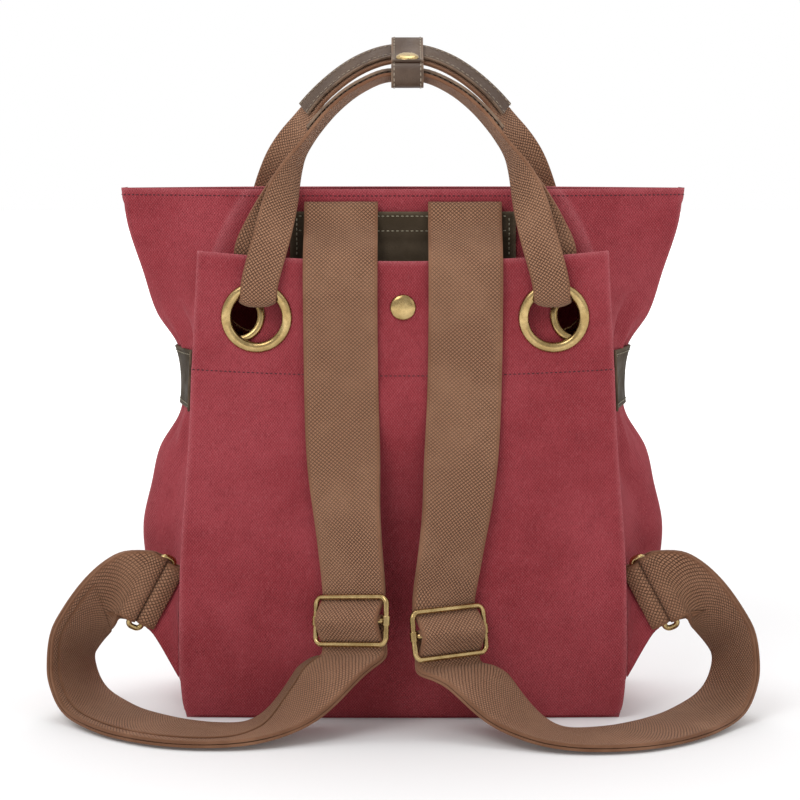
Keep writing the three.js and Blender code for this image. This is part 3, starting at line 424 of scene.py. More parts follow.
brassLook = {
    "roughness": 0.3,
    "metallic": 1.0,
    "main": (0.37, 0.255, 0.105, 1),
    # lighter brass laid in soft patches: painted reflection
    "paintedReflection": (0.56, 0.41, 0.19, 1),
    "dark": (0.17, 0.11, 0.05, 1),
    "roughRange": (0.2, 0.34),
    "scratchBump": 0.00002,
    "scratchStrength": 0.3,
    "noises": {
        "cloudy": (70.0, 4.0, 0.65),
        "spots": (420.0, 3.0, 0.6),
        "scratch": (1400.0, 2.0, 0.6, (1.0, 1.0, 0.12)),
    },
    "layers": [("cloudy", 0.35, 0.7, 1.0, "paintedReflection"), ("spots", 0.6, 0.8, 0.4, "dark")],
}


def brassMaterial(values):
    material, tree, shader, place = newMaterial("aged brass", values)
    patterns = noisesAt(tree, place, values["noises"])
    tree.links.new(layered(tree, values["main"], patterns, values), shader.inputs["Base Color"])
    rough = spread(tree, patterns["spots"], 0.35, 0.7, *values["roughRange"])
    tree.links.new(rough, shader.inputs["Roughness"])
    scratches = calc(tree, "ADD", patterns["scratch"], patterns["spots"])
    bumpTo(tree, shader, scratches, values["scratchBump"], values["scratchStrength"])
    return material


threadLook = {
    "roughness": 0.75,
    "sheen": 0.2,
    "specular": 0.3,
    "twist": (1800.0, 2.0, 0.6),
    "twistRange": (0.3, 0.65),
    "shade": 0.5,
    "bump": 0.0002,
    "bumpStrength": 0.6,
}
threadColours = {
    "cream thread": (0.36, 0.32, 0.22, 1),
    "maroon thread": (0.085, 0.010, 0.018, 1),
    "tan thread": (0.42, 0.34, 0.25, 1),
}


def threadMaterial(name, colour, values):
    material, tree, shader, place = newMaterial(name, values)
    twist = noiseAt(tree, place, *values["twist"])
    darker = (*(part * values["shade"] for part in colour[:3]), 1)
    share = spread(tree, twist, *values["twistRange"])
    tree.links.new(blendColour(tree, share, darker, colour), shader.inputs["Base Color"])
    bumpTo(tree, shader, twist, values["bump"], values["bumpStrength"])
    return material


looks = {
    "canvas": canvasMaterial(canvasLook),
    "webbing": webbingMaterial(webbingLook),
    "dark_leather": leatherMaterial("dark leather", darkLeatherLook),
    "grey_leather": leatherMaterial("grey leather", greyLeatherLook),
    "brass": brassMaterial(brassLook),
}
looks.update((name, threadMaterial(name, colour, threadLook)) for name, colour in threadColours.items())
print("materials ready")


# helpers for the pieces

def makePiece(name, bm, slot, node=None, look=None):
    mesh = bpy.data.meshes.new(name)
    bm.to_mesh(mesh)
    bm.free()
    mesh.shade_smooth()
    mesh.materials.append(looks[look or slot])
    piece = addObject(name, mesh)
    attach(piece, "root")
    if node:
        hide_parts(node)
    return piece


def thicken(piece, thickness, offset):
    solid = piece.modifiers.new("thickness", "SOLIDIFY")
    solid.thickness = thickness * mm
    solid.offset = offset
    solid.use_even_offset = True
    return piece


def soften(piece, width, segments=2, angle=40):
    edge = piece.modifiers.new("edges", "BEVEL")
    edge.width = width * mm
    edge.segments = segments
    edge.limit_method = "ANGLE"
    edge.angle_limit = math.radians(angle)
    return piece


def mappedSheet(values, place, worn, flat=None):
    # a grid laid over a surface: place gives each point in mm, flat the cloth's own mm
    def spanned(s, t):
        return (s * values["cloth"][0], t * values["cloth"][1])

    bm = bmesh.new()
    cloth = bm.loops.layers.uv.new("cloth")
    bm.verts.layers.float.new("worn")
    bmesh.ops.create_grid(bm, x_segments=values["columns"], y_segments=values["rows"], size=0.5)
    shares = {vert: (vert.co.x + 0.5, vert.co.y + 0.5) for vert in bm.verts}
    for face in bm.faces:
        for loop in face.loops:
            loop[cloth].uv = (flat or spanned)(*shares[loop.vert])
    for vert, (s, t) in shares.items():
        vert[bm.verts.layers.float["worn"]] = worn(s, t)
        vert.co = place(s, t) * mm
    return bm


def mergedCopy(node):
    bm = bmesh.new()
    bm.from_mesh(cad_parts[node].data)
    bmesh.ops.remove_doubles(bm, verts=bm.verts, dist=1e-6)
    return bm


def nodePoints(node):
    bm = mergedCopy(node)
    points = [vert.co.copy() for vert in bm.verts]
    bm.free()
    return points


ear = {"flat": 22, "square": 60, "sharp": 45, "crease": 0.75, "levels": 2}


def refinedNode(node, slot, values):
    bm = mergedCopy(node)
    flat, square = math.radians(values["flat"]), math.radians(values["square"])
    bmesh.ops.join_triangles(bm, faces=bm.faces, angle_face_threshold=flat, angle_shape_threshold=square)
    crease = bm.edges.layers.float.new("crease_edge")
    bm.edges.ensure_lookup_table()
    for edge in bm.edges:
        if len(edge.link_faces) == 2 and edge.calc_face_angle() > math.radians(values["sharp"]):
            edge[crease] = values["crease"]
    piece = makePiece(node + "_fine", bm, slot, node)
    finer = piece.modifiers.new("finer", "SUBSURF")
    finer.levels = values["levels"]
    finer.render_levels = values["levels"]


def bell(value, width):
    return math.exp(-((value / width) ** 2))


def eased(share):
    t = min(max(share, 0), 1)
    return t * t * (3 - 2 * t)


def stitchLine(bm, points, outs, values):
    # stitches end to end along a line of points, each lying in the cloth
    reach = 0.0
    ahead = values["pitch"] / 2
    radius = values["thread"]
    size = Matrix.Diagonal((values["stitch"] / 2, radius, radius * 0.8, 1))
    for a, b, out in zip(points, points[1:], outs):
        step = (b - a).length
        while ahead <= reach + step:
            along = (b - a).normalized()
            across = out.cross(along).normalized()
            up = along.cross(across)
            middle = a.lerp(b, (ahead - reach) / step) + up * radius * 0.25
            turn = Matrix((along, across, up)).transposed().to_4x4()
            place = Matrix.Diagonal((mm, mm, mm, 1)) @ Matrix.Translation(middle) @ turn @ size
            bmesh.ops.create_icosphere(bm, subdivisions=1, radius=1, matrix=place)
            ahead += values["pitch"]
        reach += step


def stitchedPiece(name, lines, values, thread, slot):  # lines are pairs of points and their ways out
    bm = bmesh.new()
    for points, outs in lines:
        stitchLine(bm, points, outs, values)
    makePiece(name, bm, slot, look=thread)


clothSeam = {"pitch": 3.1, "stitch": 2.3, "thread": 0.42}
leatherSeam = {"pitch": 3.3, "stitch": 2.4, "thread": 0.42}


# the bag's own sizes, in mm

bag = {
    "height": 360,
    "bulge": 182,
    "backHalf": 152,
    "depth": 57,
    "bow": 2.5,
    "tuckDip": 0.3,
    "canvas": 2,
    "hem": 11,
    "hemExtra": 0.8,
    "seat": 0.3,
    "stitch": 242,
    "panelTop": 320,
    "panelTopHalf": 138,
    "panelTopDepth": 53,
    "panelDip": 7,
    "panelFoot": 2,
    "creaseDepth": 1.5,
}

sections = [  # up, back, side, deep, tuck
    (0.0, 0.975, 0.845, 0.95, 0.8),
    (0.035, 0.99, 0.865, 1.02, 0.9),
    (0.1, 1.0, 0.91, 1.06, 1.0),
    (0.18, 1.0, 0.955, 1.08, 1.0),
    (0.27, 0.995, 0.99, 1.08, 1.0),
    (0.35, 0.985, 1.0, 1.06, 1.0),
    (0.43, 0.97, 0.966, 1.02, 0.95),
    (0.5, 0.957, 0.932, 0.98, 0.85),
    (0.57, 0.947, 0.852, 0.94, 0.7),
    (0.64, 0.942, 0.838, 0.87, 0.55),
    (0.7, 0.937, 0.862, 0.79, 0.4),
    (0.76, 0.926, 0.938, 0.7, 0.25),
    (0.84, 0.88, 0.989, 0.57, 0.12),
    (0.93, 0.8, 1.045, 0.43, 0.05),
    (1.0, 0.7, 1.063, 0.34, 0.0),
]

folds = [  # side, face, out, up, wide, long, lean, depth
    (-1, -1, 0.42, 0.735, 0.05, 0.16, 34, 2.6),
    (-1, -1, 0.75, 0.8, 0.06, 0.18, 24, -1.4),
    (-1, -1, 0.5, 0.5, 0.05, 0.13, -22, 2.2),
    (-1, -1, 0.62, 0.26, 0.06, 0.2, -8, 1.6),
    (1, -1, 0.5, 0.76, 0.05, 0.15, 30, 2.8),
    (1, -1, 0.8, 0.86, 0.06, 0.16, 20, -1.3),
    (1, -1, 0.45, 0.49, 0.05, 0.14, -26, 2.4),
    (1, -1, 0.7, 0.34, 0.06, 0.2, -6, 1.5),
    (-1, 1, 0.5, 0.76, 0.06, 0.16, 28, 2.2),
    (-1, 1, 0.5, 0.48, 0.06, 0.15, -24, 2.2),
    (1, 1, 0.5, 0.75, 0.06, 0.16, 30, 2.4),
    (1, 1, 0.55, 0.48, 0.06, 0.15, -20, 2.0),
]

creases = [  # the same columns, for the sharper folds by the belts
    (-1, -1, 0.3, 0.72, 0.016, 0.09, 20, 0.9),
    (-1, -1, 0.62, 0.7, 0.018, 0.08, 12, -0.7),
    (-1, -1, 0.8, 0.71, 0.015, 0.09, 6, 0.8),
    (-1, -1, 0.35, 0.545, 0.016, 0.08, -14, 0.9),
    (-1, -1, 0.6, 0.55, 0.016, 0.09, -8, -0.7),
    (-1, -1, 0.82, 0.54, 0.014, 0.07, -4, 0.8),
    (1, -1, 0.34, 0.725, 0.016, 0.09, 18, 0.9),
    (1, -1, 0.6, 0.705, 0.018, 0.08, 12, -0.7),
    (1, -1, 0.82, 0.7, 0.015, 0.09, 6, 0.8),
    (1, -1, 0.32, 0.54, 0.016, 0.08, -16, 0.9),
    (1, -1, 0.58, 0.55, 0.016, 0.1, -8, -0.7),
    (1, -1, 0.84, 0.545, 0.014, 0.07, -4, 0.8),
    (-1, 1, 0.35, 0.72, 0.016, 0.09, 18, 0.9),
    (-1, 1, 0.62, 0.55, 0.016, 0.09, -8, -0.7),
    (1, 1, 0.4, 0.71, 0.016, 0.09, 18, 0.9),
    (1, 1, 0.6, 0.55, 0.016, 0.09, -8, -0.7),
]

quarters = [(0, -1, -1, 1), (1, -1, 0, 1), (1, 1, 1, 0), (0, 1, 1, -1), (-1, 1, 0, 1), (-1, -1, 1, 0)]


def smoothWay(t, a, leaving, b, arriving):  # a smooth way from a to b, with its slopes at both ends
    start = a * (2 * t**3 - 3 * t**2 + 1) + leaving * (t**3 - 2 * t**2 + t)
    return start + b * (3 * t**2 - 2 * t**3) + arriving * (t**3 - t**2)


def readRow(rows, value, column):
    i = next((k for k, row in enumerate(rows) if row[0] >= value), len(rows) - 1)
    i = max(i, 1)
    p, q = rows[i - 1], rows[i]
    before = rows[i - 2] if i > 1 else p
    after = rows[i + 1] if i + 1 < len(rows) else q
    span = q[0] - p[0]

    def slope(a, b):
        return 0 if a[0] == b[0] else (b[column] - a[column]) / (b[0] - a[0])

    t = min(max((value - p[0]) / span, 0), 1)
    return smoothWay(t, p[column], slope(before, q) * span, q[column], slope(p, after) * span)


sectionCache = {}


def sectionAt(up):
    key = round(up, 6)
    if key not in sectionCache:
        sizes = (1, bag["backHalf"], bag["bulge"], bag["depth"], 1)
        sectionCache[key] = [readRow(sections, up, column) * sizes[column] for column in (1, 2, 3, 4)]
    return sectionCache[key]


def foldDepth(table, side, face, out, up, reach):
    depth = 0
    for fold in table:
        if fold[0] != side or fold[1] != face:
            continue
        across = (out - fold[2]) * reach
        along = (up - fold[3]) * bag["height"]
        turn = math.radians(fold[6])
        u = (across * math.cos(turn) - along * math.sin(turn)) / (fold[4] * bag["bulge"])
        v = (across * math.sin(turn) + along * math.cos(turn)) / (fold[5] * bag["bulge"])
        depth += fold[7] * bag["canvas"] * math.exp(-u * u - v * v)
    return depth * math.sin(math.pi * min(max(out, 0), 1))


def skin(turn, up, fine=True):
    turn = turn % 6
    side, face, start, end = quarters[int(turn)]
    s = start + (end - start) * (turn % 1)
    back, reachOut, deep, tuck = sectionAt(up)
    if side == 0:
        return Vector((s * back, face * (deep + bag["bow"] * (1 - s * s)), up * bag["height"]))
    reach = math.hypot(reachOut - back, deep)
    bulge = math.sin(s * math.pi / 2) ** 2 - bag["tuckDip"] * math.sin(s * math.pi)
    x = back + (reachOut - back) * (s + (bulge - s) * tuck)
    y = deep * ((1 - s) * 0.8 + math.cos(s * math.pi / 2) * 0.2)
    depth = foldDepth(folds, side, face, s, up, reach)
    if fine:
        depth += foldDepth(creases, side, face, s, up, reach) * bag["creaseDepth"]
    x -= depth * deep / reach
    y -= depth * (reachOut - back) / reach
    return Vector((side * x, face * y, up * bag["height"]))


def skinOut(turn, up, distance, fine=True):
    step = 1e-3
    here = skin(turn, up, fine)
    before = (here - skin(turn - step, up, fine)).normalized()
    after = (skin(turn + step, up, fine) - here).normalized()
    n1 = Vector((before.y, -before.x, 0))
    n2 = Vector((after.y, -after.x, 0))
    return here + (n1 + n2) * (distance / max(1 + n1.dot(n2), 0.5))


def outAt(turn, up):
    a = skinOut(turn, up, 1) - skinOut(turn, up, 0)
    return a.normalized()


def crumple(point, scale, seed):  # soft waves of worn cloth, from -1 to 1
    where = Vector((point.x, point.y, point.z * 0.8)) / scale
    return noise.noise(where + Vector((seed, seed * 2, seed * 3))) * 2


def panelPoint(share, height, distance):
    up = height / bag["height"]
    if height <= bag["stitch"]:
        return skinOut((share + 1) / 2, up, distance)
    t = (height - bag["stitch"]) / (bag["panelTop"] - bag["stitch"])
    root = skin((share + 1) / 2, bag["stitch"] / bag["height"])
    x = root.x + (share * bag["panelTopHalf"] - root.x) * t
    face = -(bag["panelTopDepth"] - bag["canvas"] + bag["bow"] * (1 - share * share))
    return Vector((x, root.y + (face - root.y) * t - distance, height))


def wallPoint(x, z, distance):  # a place on the back wall
    up = z / bag["height"]
    return skinOut((x / sectionAt(up)[0] + 1) / 2, up, distance)


# the bag's body, hem and base

body = {
    "columns": 264, "rows": 164, "cloth": (830, 360), "edgeRound": 0.7, "hole": 17.5,
    "wave": 0.9, "waveScale": 46, "ripple": 0.3, "rippleScale": 15, "waveTop": 0.95,
    "edgeWear": 0.5, "wornCorner": 0.025, "wornRim": 0.006,
    "hemSeam": 4.7, "hemSteps": 1500, "baseSteps": 240, "baseGap": 0.2,
}


def nodeAxes(node):
    # middle of a flat node in m, and its long, short and thin directions with half their reach
    points = numpy.array([tuple(p) for p in nodePoints(node)])
    middle = points.mean(axis=0)
    turned = numpy.linalg.eigh(numpy.cov((points - middle).T))[1]
    axes = [Vector(turned[:, k]) for k in (2, 1, 0)]
    reach = [float(numpy.ptp(points @ numpy.array(axis))) / 2 for axis in axes]
    return Vector(middle), axes, reach


eyelets = {}
for sideName in ("left", "right"):
    for place, away in (("panel", -1), ("body", -1), ("front", 1)):
        middle, axes, reach = nodeAxes(place + "_grommet_" + sideName)
        eyelets[place + "_grommet_" + sideName] = (middle, axes[2] if axes[2].y * away > 0 else -axes[2])


def punch(bm, group, radius, reach=12):  # takes out the cloth behind a pair of rings
    for name, (middle, axis) in eyelets.items():
        if not name.startswith(group):
            continue
        gone = []
        for face in bm.faces:
            offset = face.calc_center_median() - middle
            height = offset.dot(axis)
            if abs(height) < reach * mm and (offset - axis * height).length < radius * mm:
                gone.append(face)
        bmesh.ops.delete(bm, geom=gone, context="FACES")


def hemLift(up):  # how far the turned edge of the cloth stands proud
    return bag["hemExtra"] * eased(3 - 3 * (1 - up) * bag["height"] / bag["hem"])


def bodyPoint(s, t):
    turn, up = s * 6, t
    point = skinOut(turn, up, hemLift(up))
    if quarters[int(turn % 6)][0] == 0 or t >= body["waveTop"]:
        return point
    swell = crumple(point, body["waveScale"], 3) * body["wave"]
    swell += crumple(point, body["rippleScale"], 9) * body["ripple"]
    free = math.sin(math.pi * (t / body["waveTop"])) ** 0.5 * math.sin(math.pi * (turn % 1)) ** 0.5
    return point + outAt(turn, up) * swell * free


def buildBody():
    def worn(s, t):
        corner = min(s * 6 % 1, 1 - s * 6 % 1)
        return body["edgeWear"] * (bell(corner, body["wornCorner"]) + bell(1 - t, body["wornRim"]))

    bm = mappedSheet(body, bodyPoint, worn)
    bmesh.ops.remove_doubles(bm, verts=bm.verts, dist=1e-5)
    punch(bm, "body", body["hole"])
    piece = makePiece("bag_body", bm, "canvas", "body")
    thicken(piece, bag["canvas"], -1)
    soften(piece, body["edgeRound"], 2, 60)


def buildBase():
    bm = bmesh.new()
    count = body["baseSteps"]
    bmesh.ops.create_circle(bm, cap_ends=True, segments=count, radius=1)
    for i, vert in enumerate(bm.verts):
        vert.co = skinOut(6 * i / count, 0, body["baseGap"] - bag["canvas"]) * mm
    bm.normal_update()
    if sum(face.normal.z * face.calc_area() for face in bm.faces) > 0:
        bmesh.ops.reverse_faces(bm, faces=bm.faces)
    thicken(makePiece("bag_base", bm, "canvas"), bag["canvas"], -1)


def buildHemStitches():
    count = body["hemSteps"]
    up = 1 - body["hemSeam"] / bag["height"]
    points = [skinOut(6 * i / count, up, hemLift(up) + 0.1) for i in range(count + 1)]
    outs = [outAt(6 * i / count, up) for i in range(count)]
    stitchedPiece("hem_stitches", [(points, outs)], clothSeam, "maroon thread", "canvas")


buildBody()
buildBase()
buildHemStitches()
print("bag body ready")


# the back panel

panel = {
    "columns": 150, "rows": 170, "cloth": (300, 320), "edgeRound": 0.6, "hole": 21,
    "edge": 0.999, "corner": 0.05, "cornerRise": 5,
    "wave": 0.5, "waveScale": 42, "hem": 8, "hemExtra": 0.5,
    "seam": 0.5, "seamSide": 2.4, "seamSag": 4.1, "seamWide": 1.6, "seamSteps": 600,
    "flapStart": 25, "flapBow": 0.6, "flapScale": 70, "flapReach": 50,
    "edgeWear": 0.6, "wornEdge": 0.006,
}


def panelEnds(s):  # foot, seam and top of the panel at a share of its width
    share = (s * 2 - 1) * panel["edge"]
    corner = max(0, abs(share) - 1 + panel["corner"]) / panel["corner"]
    foot = bag["panelFoot"] + panel["cornerRise"] * (1 - math.sqrt(max(0, 1 - corner * corner)))
    seam = bag["stitch"] - panel["seamSide"] - panel["seamSag"] * (1 - share * share)
    return share, foot, seam, bag["panelTop"] - bag["panelDip"] * (1 - share * share)


def panelSurface(s, t, distance=0.0):
    share, foot, seam, top = panelEnds(s)
    height = foot + (top - foot) * t
    thick = bag["seat"] + bag["canvas"] + distance
    point = panelPoint(share, height, thick)
    rest = math.sin(math.pi * s) * min(1, 6 * t)
    lift = (crumple(point, panel["waveScale"], 5) + 0.6) * panel["wave"] * rest
    lift -= panel["seam"] * bell(height - seam, panel["seamWide"])
    if height > top - panel["hem"]:
        lift += panel["hemExtra"]
    free = height - bag["stitch"] - panel["flapStart"]
    if free > 0:  # the free flap leans and bows a little
        lift += panel["flapBow"] * crumple(point, panel["flapScale"], 8) * free / panel["flapReach"]
    point.y -= lift
    return point


def buildPanel():
    def worn(s, t):
        return panel["edgeWear"] * (bell(min(s, 1 - s), panel["wornEdge"]) + bell(1 - t, panel["wornEdge"]))

    bm = mappedSheet(panel, panelSurface, worn)
    punch(bm, "panel", panel["hole"])
    piece = makePiece("panel_cloth", bm, "canvas", "back_panel")
    thicken(piece, bag["canvas"], -1)
    soften(piece, panel["edgeRound"])
    count = panel["seamSteps"]
    line = []
    for i in range(count + 1):
        foot, seam, top = panelEnds(i / count)[1:]
        line.append(panelSurface(i / count, (seam - foot) / (top - foot), 0.1))
    lines = [(line, [Vector((0, -1, 0))] * count)]
    stitchedPiece("panel_stitches", lines, clothSeam, "maroon thread", "canvas")


buildPanel()
print("back panel ready")


# brass: rolled rings, snaps, sliders and strap rings

ring = {
    "outer": 24, "inner": 17.2, "crown": 2.5, "steps": 72,
    "scales": {"panel": 1.0, "body": 0.8, "front": 1.0},
}


def brassPiece(name, bm, node):
    bmesh.ops.remove_doubles(bm, verts=bm.verts, dist=1e-6)
    bmesh.ops.recalc_face_normals(bm, faces=bm.faces)
    makePiece(name, bm, "brass", node)


def spunPiece(name, profile, middle, axis, steps, node):
    # profile is (radius, height) pairs in mm, round the axis
    bm = bmesh.new()
    verts = [bm.verts.new((r * mm, 0, z * mm)) for r, z in profile]
    edges = [bm.edges.new(pair) for pair in zip(verts, verts[1:])]
    bmesh.ops.spin(
        bm, geom=verts + edges, axis=(0, 0, 1), cent=(0, 0, 0), steps=steps, angle=2 * math.pi, use_merge=True
    )
    place = Matrix.Translation(middle) @ axis.to_track_quat("Z", "Y").to_matrix().to_4x4()
    bmesh.ops.transform(bm, matrix=place, verts=bm.verts)
    brassPiece(name, bm, node)


def buildEyelet(name):
    middle, axis = eyelets[name]
    scale = ring["scales"][name.split("_")[0]]
    outer, inner = ring["outer"] * scale, ring["inner"] * scale
    heights = [axis.dot(point - middle) / mm for point in nodePoints(name)]
    low, high = min(heights), max(heights)
    wide = (outer - inner) / 2
    profile = []
    for i in range(13):  # the rolled crown, from its outer edge over to the hole
        angle = math.pi * i / 12
        rise = math.sin(angle) ** 0.8 * ring["crown"]
        profile.append(((outer + inner) / 2 + math.cos(angle) * wide, high - ring["crown"] + rise))
    under = high - ring["crown"]
    profile += [(inner + 0.15, under - 1.2), (inner, low + 0.9), (inner + 0.3, low + 0.2)]
    profile += [(inner + 1.2, low), (outer * 0.9, low), (outer * 0.93, low + 0.4), (outer * 0.93, low + 0.9)]
    profile += [(inner + 1.6, low + 0.9), (inner + 1.6, under), profile[0]]
    spunPiece(name + "_rolled", profile, middle, axis, ring["steps"], name)


for name in eyelets:
    buildEyelet(name)

snap = {
    "steps": 48,
    "kinds": {  # radius, rise, way it faces
        "panel_snap": (8.7, 2.6, (0, -1, 0)),
        "keeper_snap": (7.8, 2.8, (0, -0.32, 1)),
    },
    # shares of the radius and the rise
    "shape": [
        (0, 0), (0.9, 0), (1, 0.12), (1, 0.3), (0.94, 0.52), (0.8, 0.76), (0.6, 0.92), (0.35, 0.98), (0, 1)
    ],
}
for name, (radius, rise, way) in snap["kinds"].items():
    lo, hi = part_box(name)
    profile = [(r * radius, (z - 0.5) * rise) for r, z in snap["shape"]]
    spunPiece(name + "_dome", profile, (lo + hi) / 2, Vector(way).normalized(), snap["steps"], name)

wire = {
    "slider": 1.85, "sliderCorner": 5, "collar": 2.6, "collarHalf": 3.2, "bar": 1.7,
    "strapRing": 2.0, "ringCorner": 3.4, "ringShift": 1.6, "sides": 6,
}


def roundedLoop(middle, across, down, half, drop, corner):
    # points of a rectangle with round corners, in mm
    points = []
    for k, (sx, sy) in enumerate(((1, 1), (-1, 1), (-1, -1), (1, -1))):
        for i in range(9):
            angle = math.pi / 2 * (k + i / 8)
            x = sx * (half - corner) + corner * math.cos(angle)
            y = sy * (drop - corner) + corner * math.sin(angle)
            points.append(middle + across * x + down * y)
    return points


def wirePiece(name, runs, node):
    # runs are (points, radius, closed); the tubes are made into one mesh
    curve = bpy.data.curves.new(name, "CURVE")
    curve.dimensions = "3D"
    curve.bevel_depth = 1 * mm
    curve.bevel_resolution = wire["sides"]
    curve.use_fill_caps = True
    for points, radius, closed in runs:
        spline = curve.splines.new("POLY")
        spline.points.add(len(points) - 1)
        for target, point in zip(spline.points, points):
            target.co = (*(point * mm), 1)
            target.radius = radius
        spline.use_cyclic_u = closed
    holder = addObject(name, curve)
    bm = bmesh.new()
    drawn = holder.evaluated_get(bpy.context.evaluated_depsgraph_get())
    bm.from_mesh(bpy.data.meshes.new_from_object(drawn))
    bpy.data.objects.remove(holder)
    brassPiece(name, bm, node)


for sideName in ("left", "right"):
    place, (across, down, _), (long, tall, _) = nodeAxes("slider_" + sideName)
    middle, half, drop = place / mm, long / mm - wire["slider"], tall / mm - wire["slider"]
    runs = [(roundedLoop(middle, across, down, half, drop, wire["sliderCorner"]), wire["slider"], True)]
    runs.append(([middle - across * half, middle + across * half], wire["bar"], False))
    for sign in (-1, 1):
        end = middle + across * sign * half
        sleeve = [(k / 6 - 1) * wire["collarHalf"] for k in range(13)]
        runs.append(([end + down * step for step in sleeve], wire["collar"], False))
    wirePiece("slider_wire_" + sideName, runs, "slider_" + sideName)
    place, (across, down, _), (long, tall, _) = nodeAxes("strap_ring_" + sideName)
    half, drop = long / mm - wire["strapRing"] - wire["ringShift"], tall / mm - wire["strapRing"]
    low = across if across.z < 0 else -across
    loop = roundedLoop(place / mm + low * wire["ringShift"], across, down, half, drop, wire["ringCorner"])
    wirePiece("strap_ring_wire_" + sideName, [(loop, wire["strapRing"], True)], "strap_ring_" + sideName)
print("brass ready")


# webbing: each band follows the middle line of its solid

def isMiddle(vert):  # the point in the middle of a band's end
    around = [edge.other_vert(vert).co for edge in vert.link_edges]
    return (sum(around, Vector()) / len(around) - vert.co).length < 0.02 * mm


def bandRings(node):
    bm = mergedCopy(node)
    tip = min((v for v in bm.verts if len(v.link_edges) == 4 and isMiddle(v)), key=lambda v: v.index)
    ringNow = [tip.link_edges[0].other_vert(tip)]
    around = {e.other_vert(tip) for e in tip.link_edges}
    while len(ringNow) < 4:
        linked = [e.other_vert(ringNow[-1]) for e in ringNow[-1].link_edges]
        ringNow.append(next(v for v in linked if v in around and v not in ringNow))
    seen = {tip, *ringNow}
    rings = []
    while True:
        rings.append([v.co / mm for v in ringNow])
        links = [[e.other_vert(v) for e in v.link_edges if e.other_vert(v) not in seen] for v in ringNow]
        following = {v for group in links for v in group}
        if len(following) < 4:
            return rings
        best = None
        for order in itertools.permutations(following):  # each point goes on to one joined to it by an edge
            if all(order[i] in links[i] for i in range(4)):
                total = sum((order[i].co - ringNow[i].co).length for i in range(4))
                if best is None or total < best[0]:
                    best = (total, order)
        ringNow = list(best[1])
        seen.update(ringNow)


def bandFrames(node):
    # middle, way across and way up of each section; across is the long side
    rings = bandRings(node)
    a, b, c, d = rings[0]
    if (b - a).length < (c - b).length:
        rings = [[r[1], r[2], r[3], r[0]] for r in rings]
    frames = []
    for a, b, c, d in rings:
        frames.append([(a + b + c + d) / 4, ((b - a) + (c - d)).normalized(), ((d - a) + (c - b)).normalized()])
    return frames


def smoothBand(frames, step):
    gaps = [max((q[0] - p[0]).length, 0.05) for p, q in zip(frames, frames[1:])]

    def slope(k, i):
        before = frames[max(i - 1, 0)][k]
        here = frames[i][k]
        after = frames[min(i + 1, len(frames) - 1)][k]
        h0 = gaps[max(i - 1, 0)]
        h1 = gaps[min(i, len(gaps) - 1)]
        return ((here - before) / h0 * h1 + (after - here) / h1 * h0) / (h0 + h1)

    made = []
    for i, gap in enumerate(gaps):
        steps = max(1, round(gap / step))
        for j in range(steps + (i == len(gaps) - 1)):
            t = j / steps
            p, q = frames[i], frames[i + 1]
            middle, across, up = (
                smoothWay(t, p[k], slope(k, i) * gap, q[k], slope(k, i + 1) * gap) for k in (0, 1, 2)
            )
            made.append([middle, across.normalized(), up.normalized()])
    return made


band = {
    "step": 2.5, "edgeRound": 0.5, "wornEdge": 0.8,
    "smoothing": 14, "pull": 0.7, "heldFade": 12,
    "turnReach": 12, "turnNarrow": 0.05, "turnLift": 1.2, "turnRound": 3.6,
}


def relaxBand(frames, held):
    # evens out a band's bends, but not where held pairs of place and reach keep it
    def freedom(point):
        near = min((point - place).length - reach for place, reach in held)
        return min(max(near / band["heldFade"], 0), 1)

    loose = [freedom(row[0]) for row in frames]
    for _ in range(band["smoothing"]):
        after = [frames[0]]
        for i in range(1, len(frames) - 1):
            pull = band["pull"] * loose[i]
            row = [frames[i][k].lerp((frames[i - 1][k] + frames[i + 1][k]) / 2, pull) for k in (0, 1, 2)]
            across = row[1].normalized()
            after.append([row[0], across, (row[2] - across * row[2].dot(across)).normalized()])
        frames = after + [frames[-1]]
    return frames


def buildBand(name, frames, values, slot, node=None, cover=(0.0, 1.0)):
    # cover is the part of the width that is laid, from the band's higher edge
    # values may say turned, for a band that is rounded where it turns up
    width, wave, lift = values["width"], values.get("wave", 0.0), values.get("lift", 0.0)
    lengths = [0.0]
    for p, q in zip(frames, frames[1:]):
        lengths.append(lengths[-1] + (q[0] - p[0]).length)
    last = len(frames) - 1
    flip = -1 if frames[last // 2][1].z > 0 else 1

    def at(t):
        return min(int(round(t * last)), last)

    def place(s, t):
        i = at(t)
        middle, across, up = frames[i]
        near, far = cover if not callable(cover) else cover(lengths[i], lengths[-1])
        share = near + (far - near) * s
        ripple = wave * noise.noise(Vector((share * 2.0, lengths[i] / 28, len(name))))
        narrow = 0.0
        point = middle + up * (ripple + lift)
        if values.get("turned"):
            foot = min(row[0].z for row in (frames[: last // 2] if i < last / 2 else frames[last // 2 :]))
            narrow = max(1 - (middle.z - foot) / band["turnReach"], 0)
            point.z += narrow**2 * (band["turnLift"] + band["turnRound"] * abs(2 * share - 1) ** 3)
        return point + across * flip * (share - 0.5) * (width - 0.1) * (1 - band["turnNarrow"] * narrow)

    def flat(s, t):
        return (s * width, lengths[at(t)])

    def worn(s, t):
        return bell(min(s, 1 - s) * width, band["wornEdge"])

    bm = mappedSheet({**values, "rows": last}, place, worn, flat)
    piece = makePiece(name, bm, slot, node)
    thicken(piece, values["thickness"], 0)
    soften(piece, band["edgeRound"], 2, 50)


def framesOf(node):
    return smoothBand(bandFrames(node), band["step"])


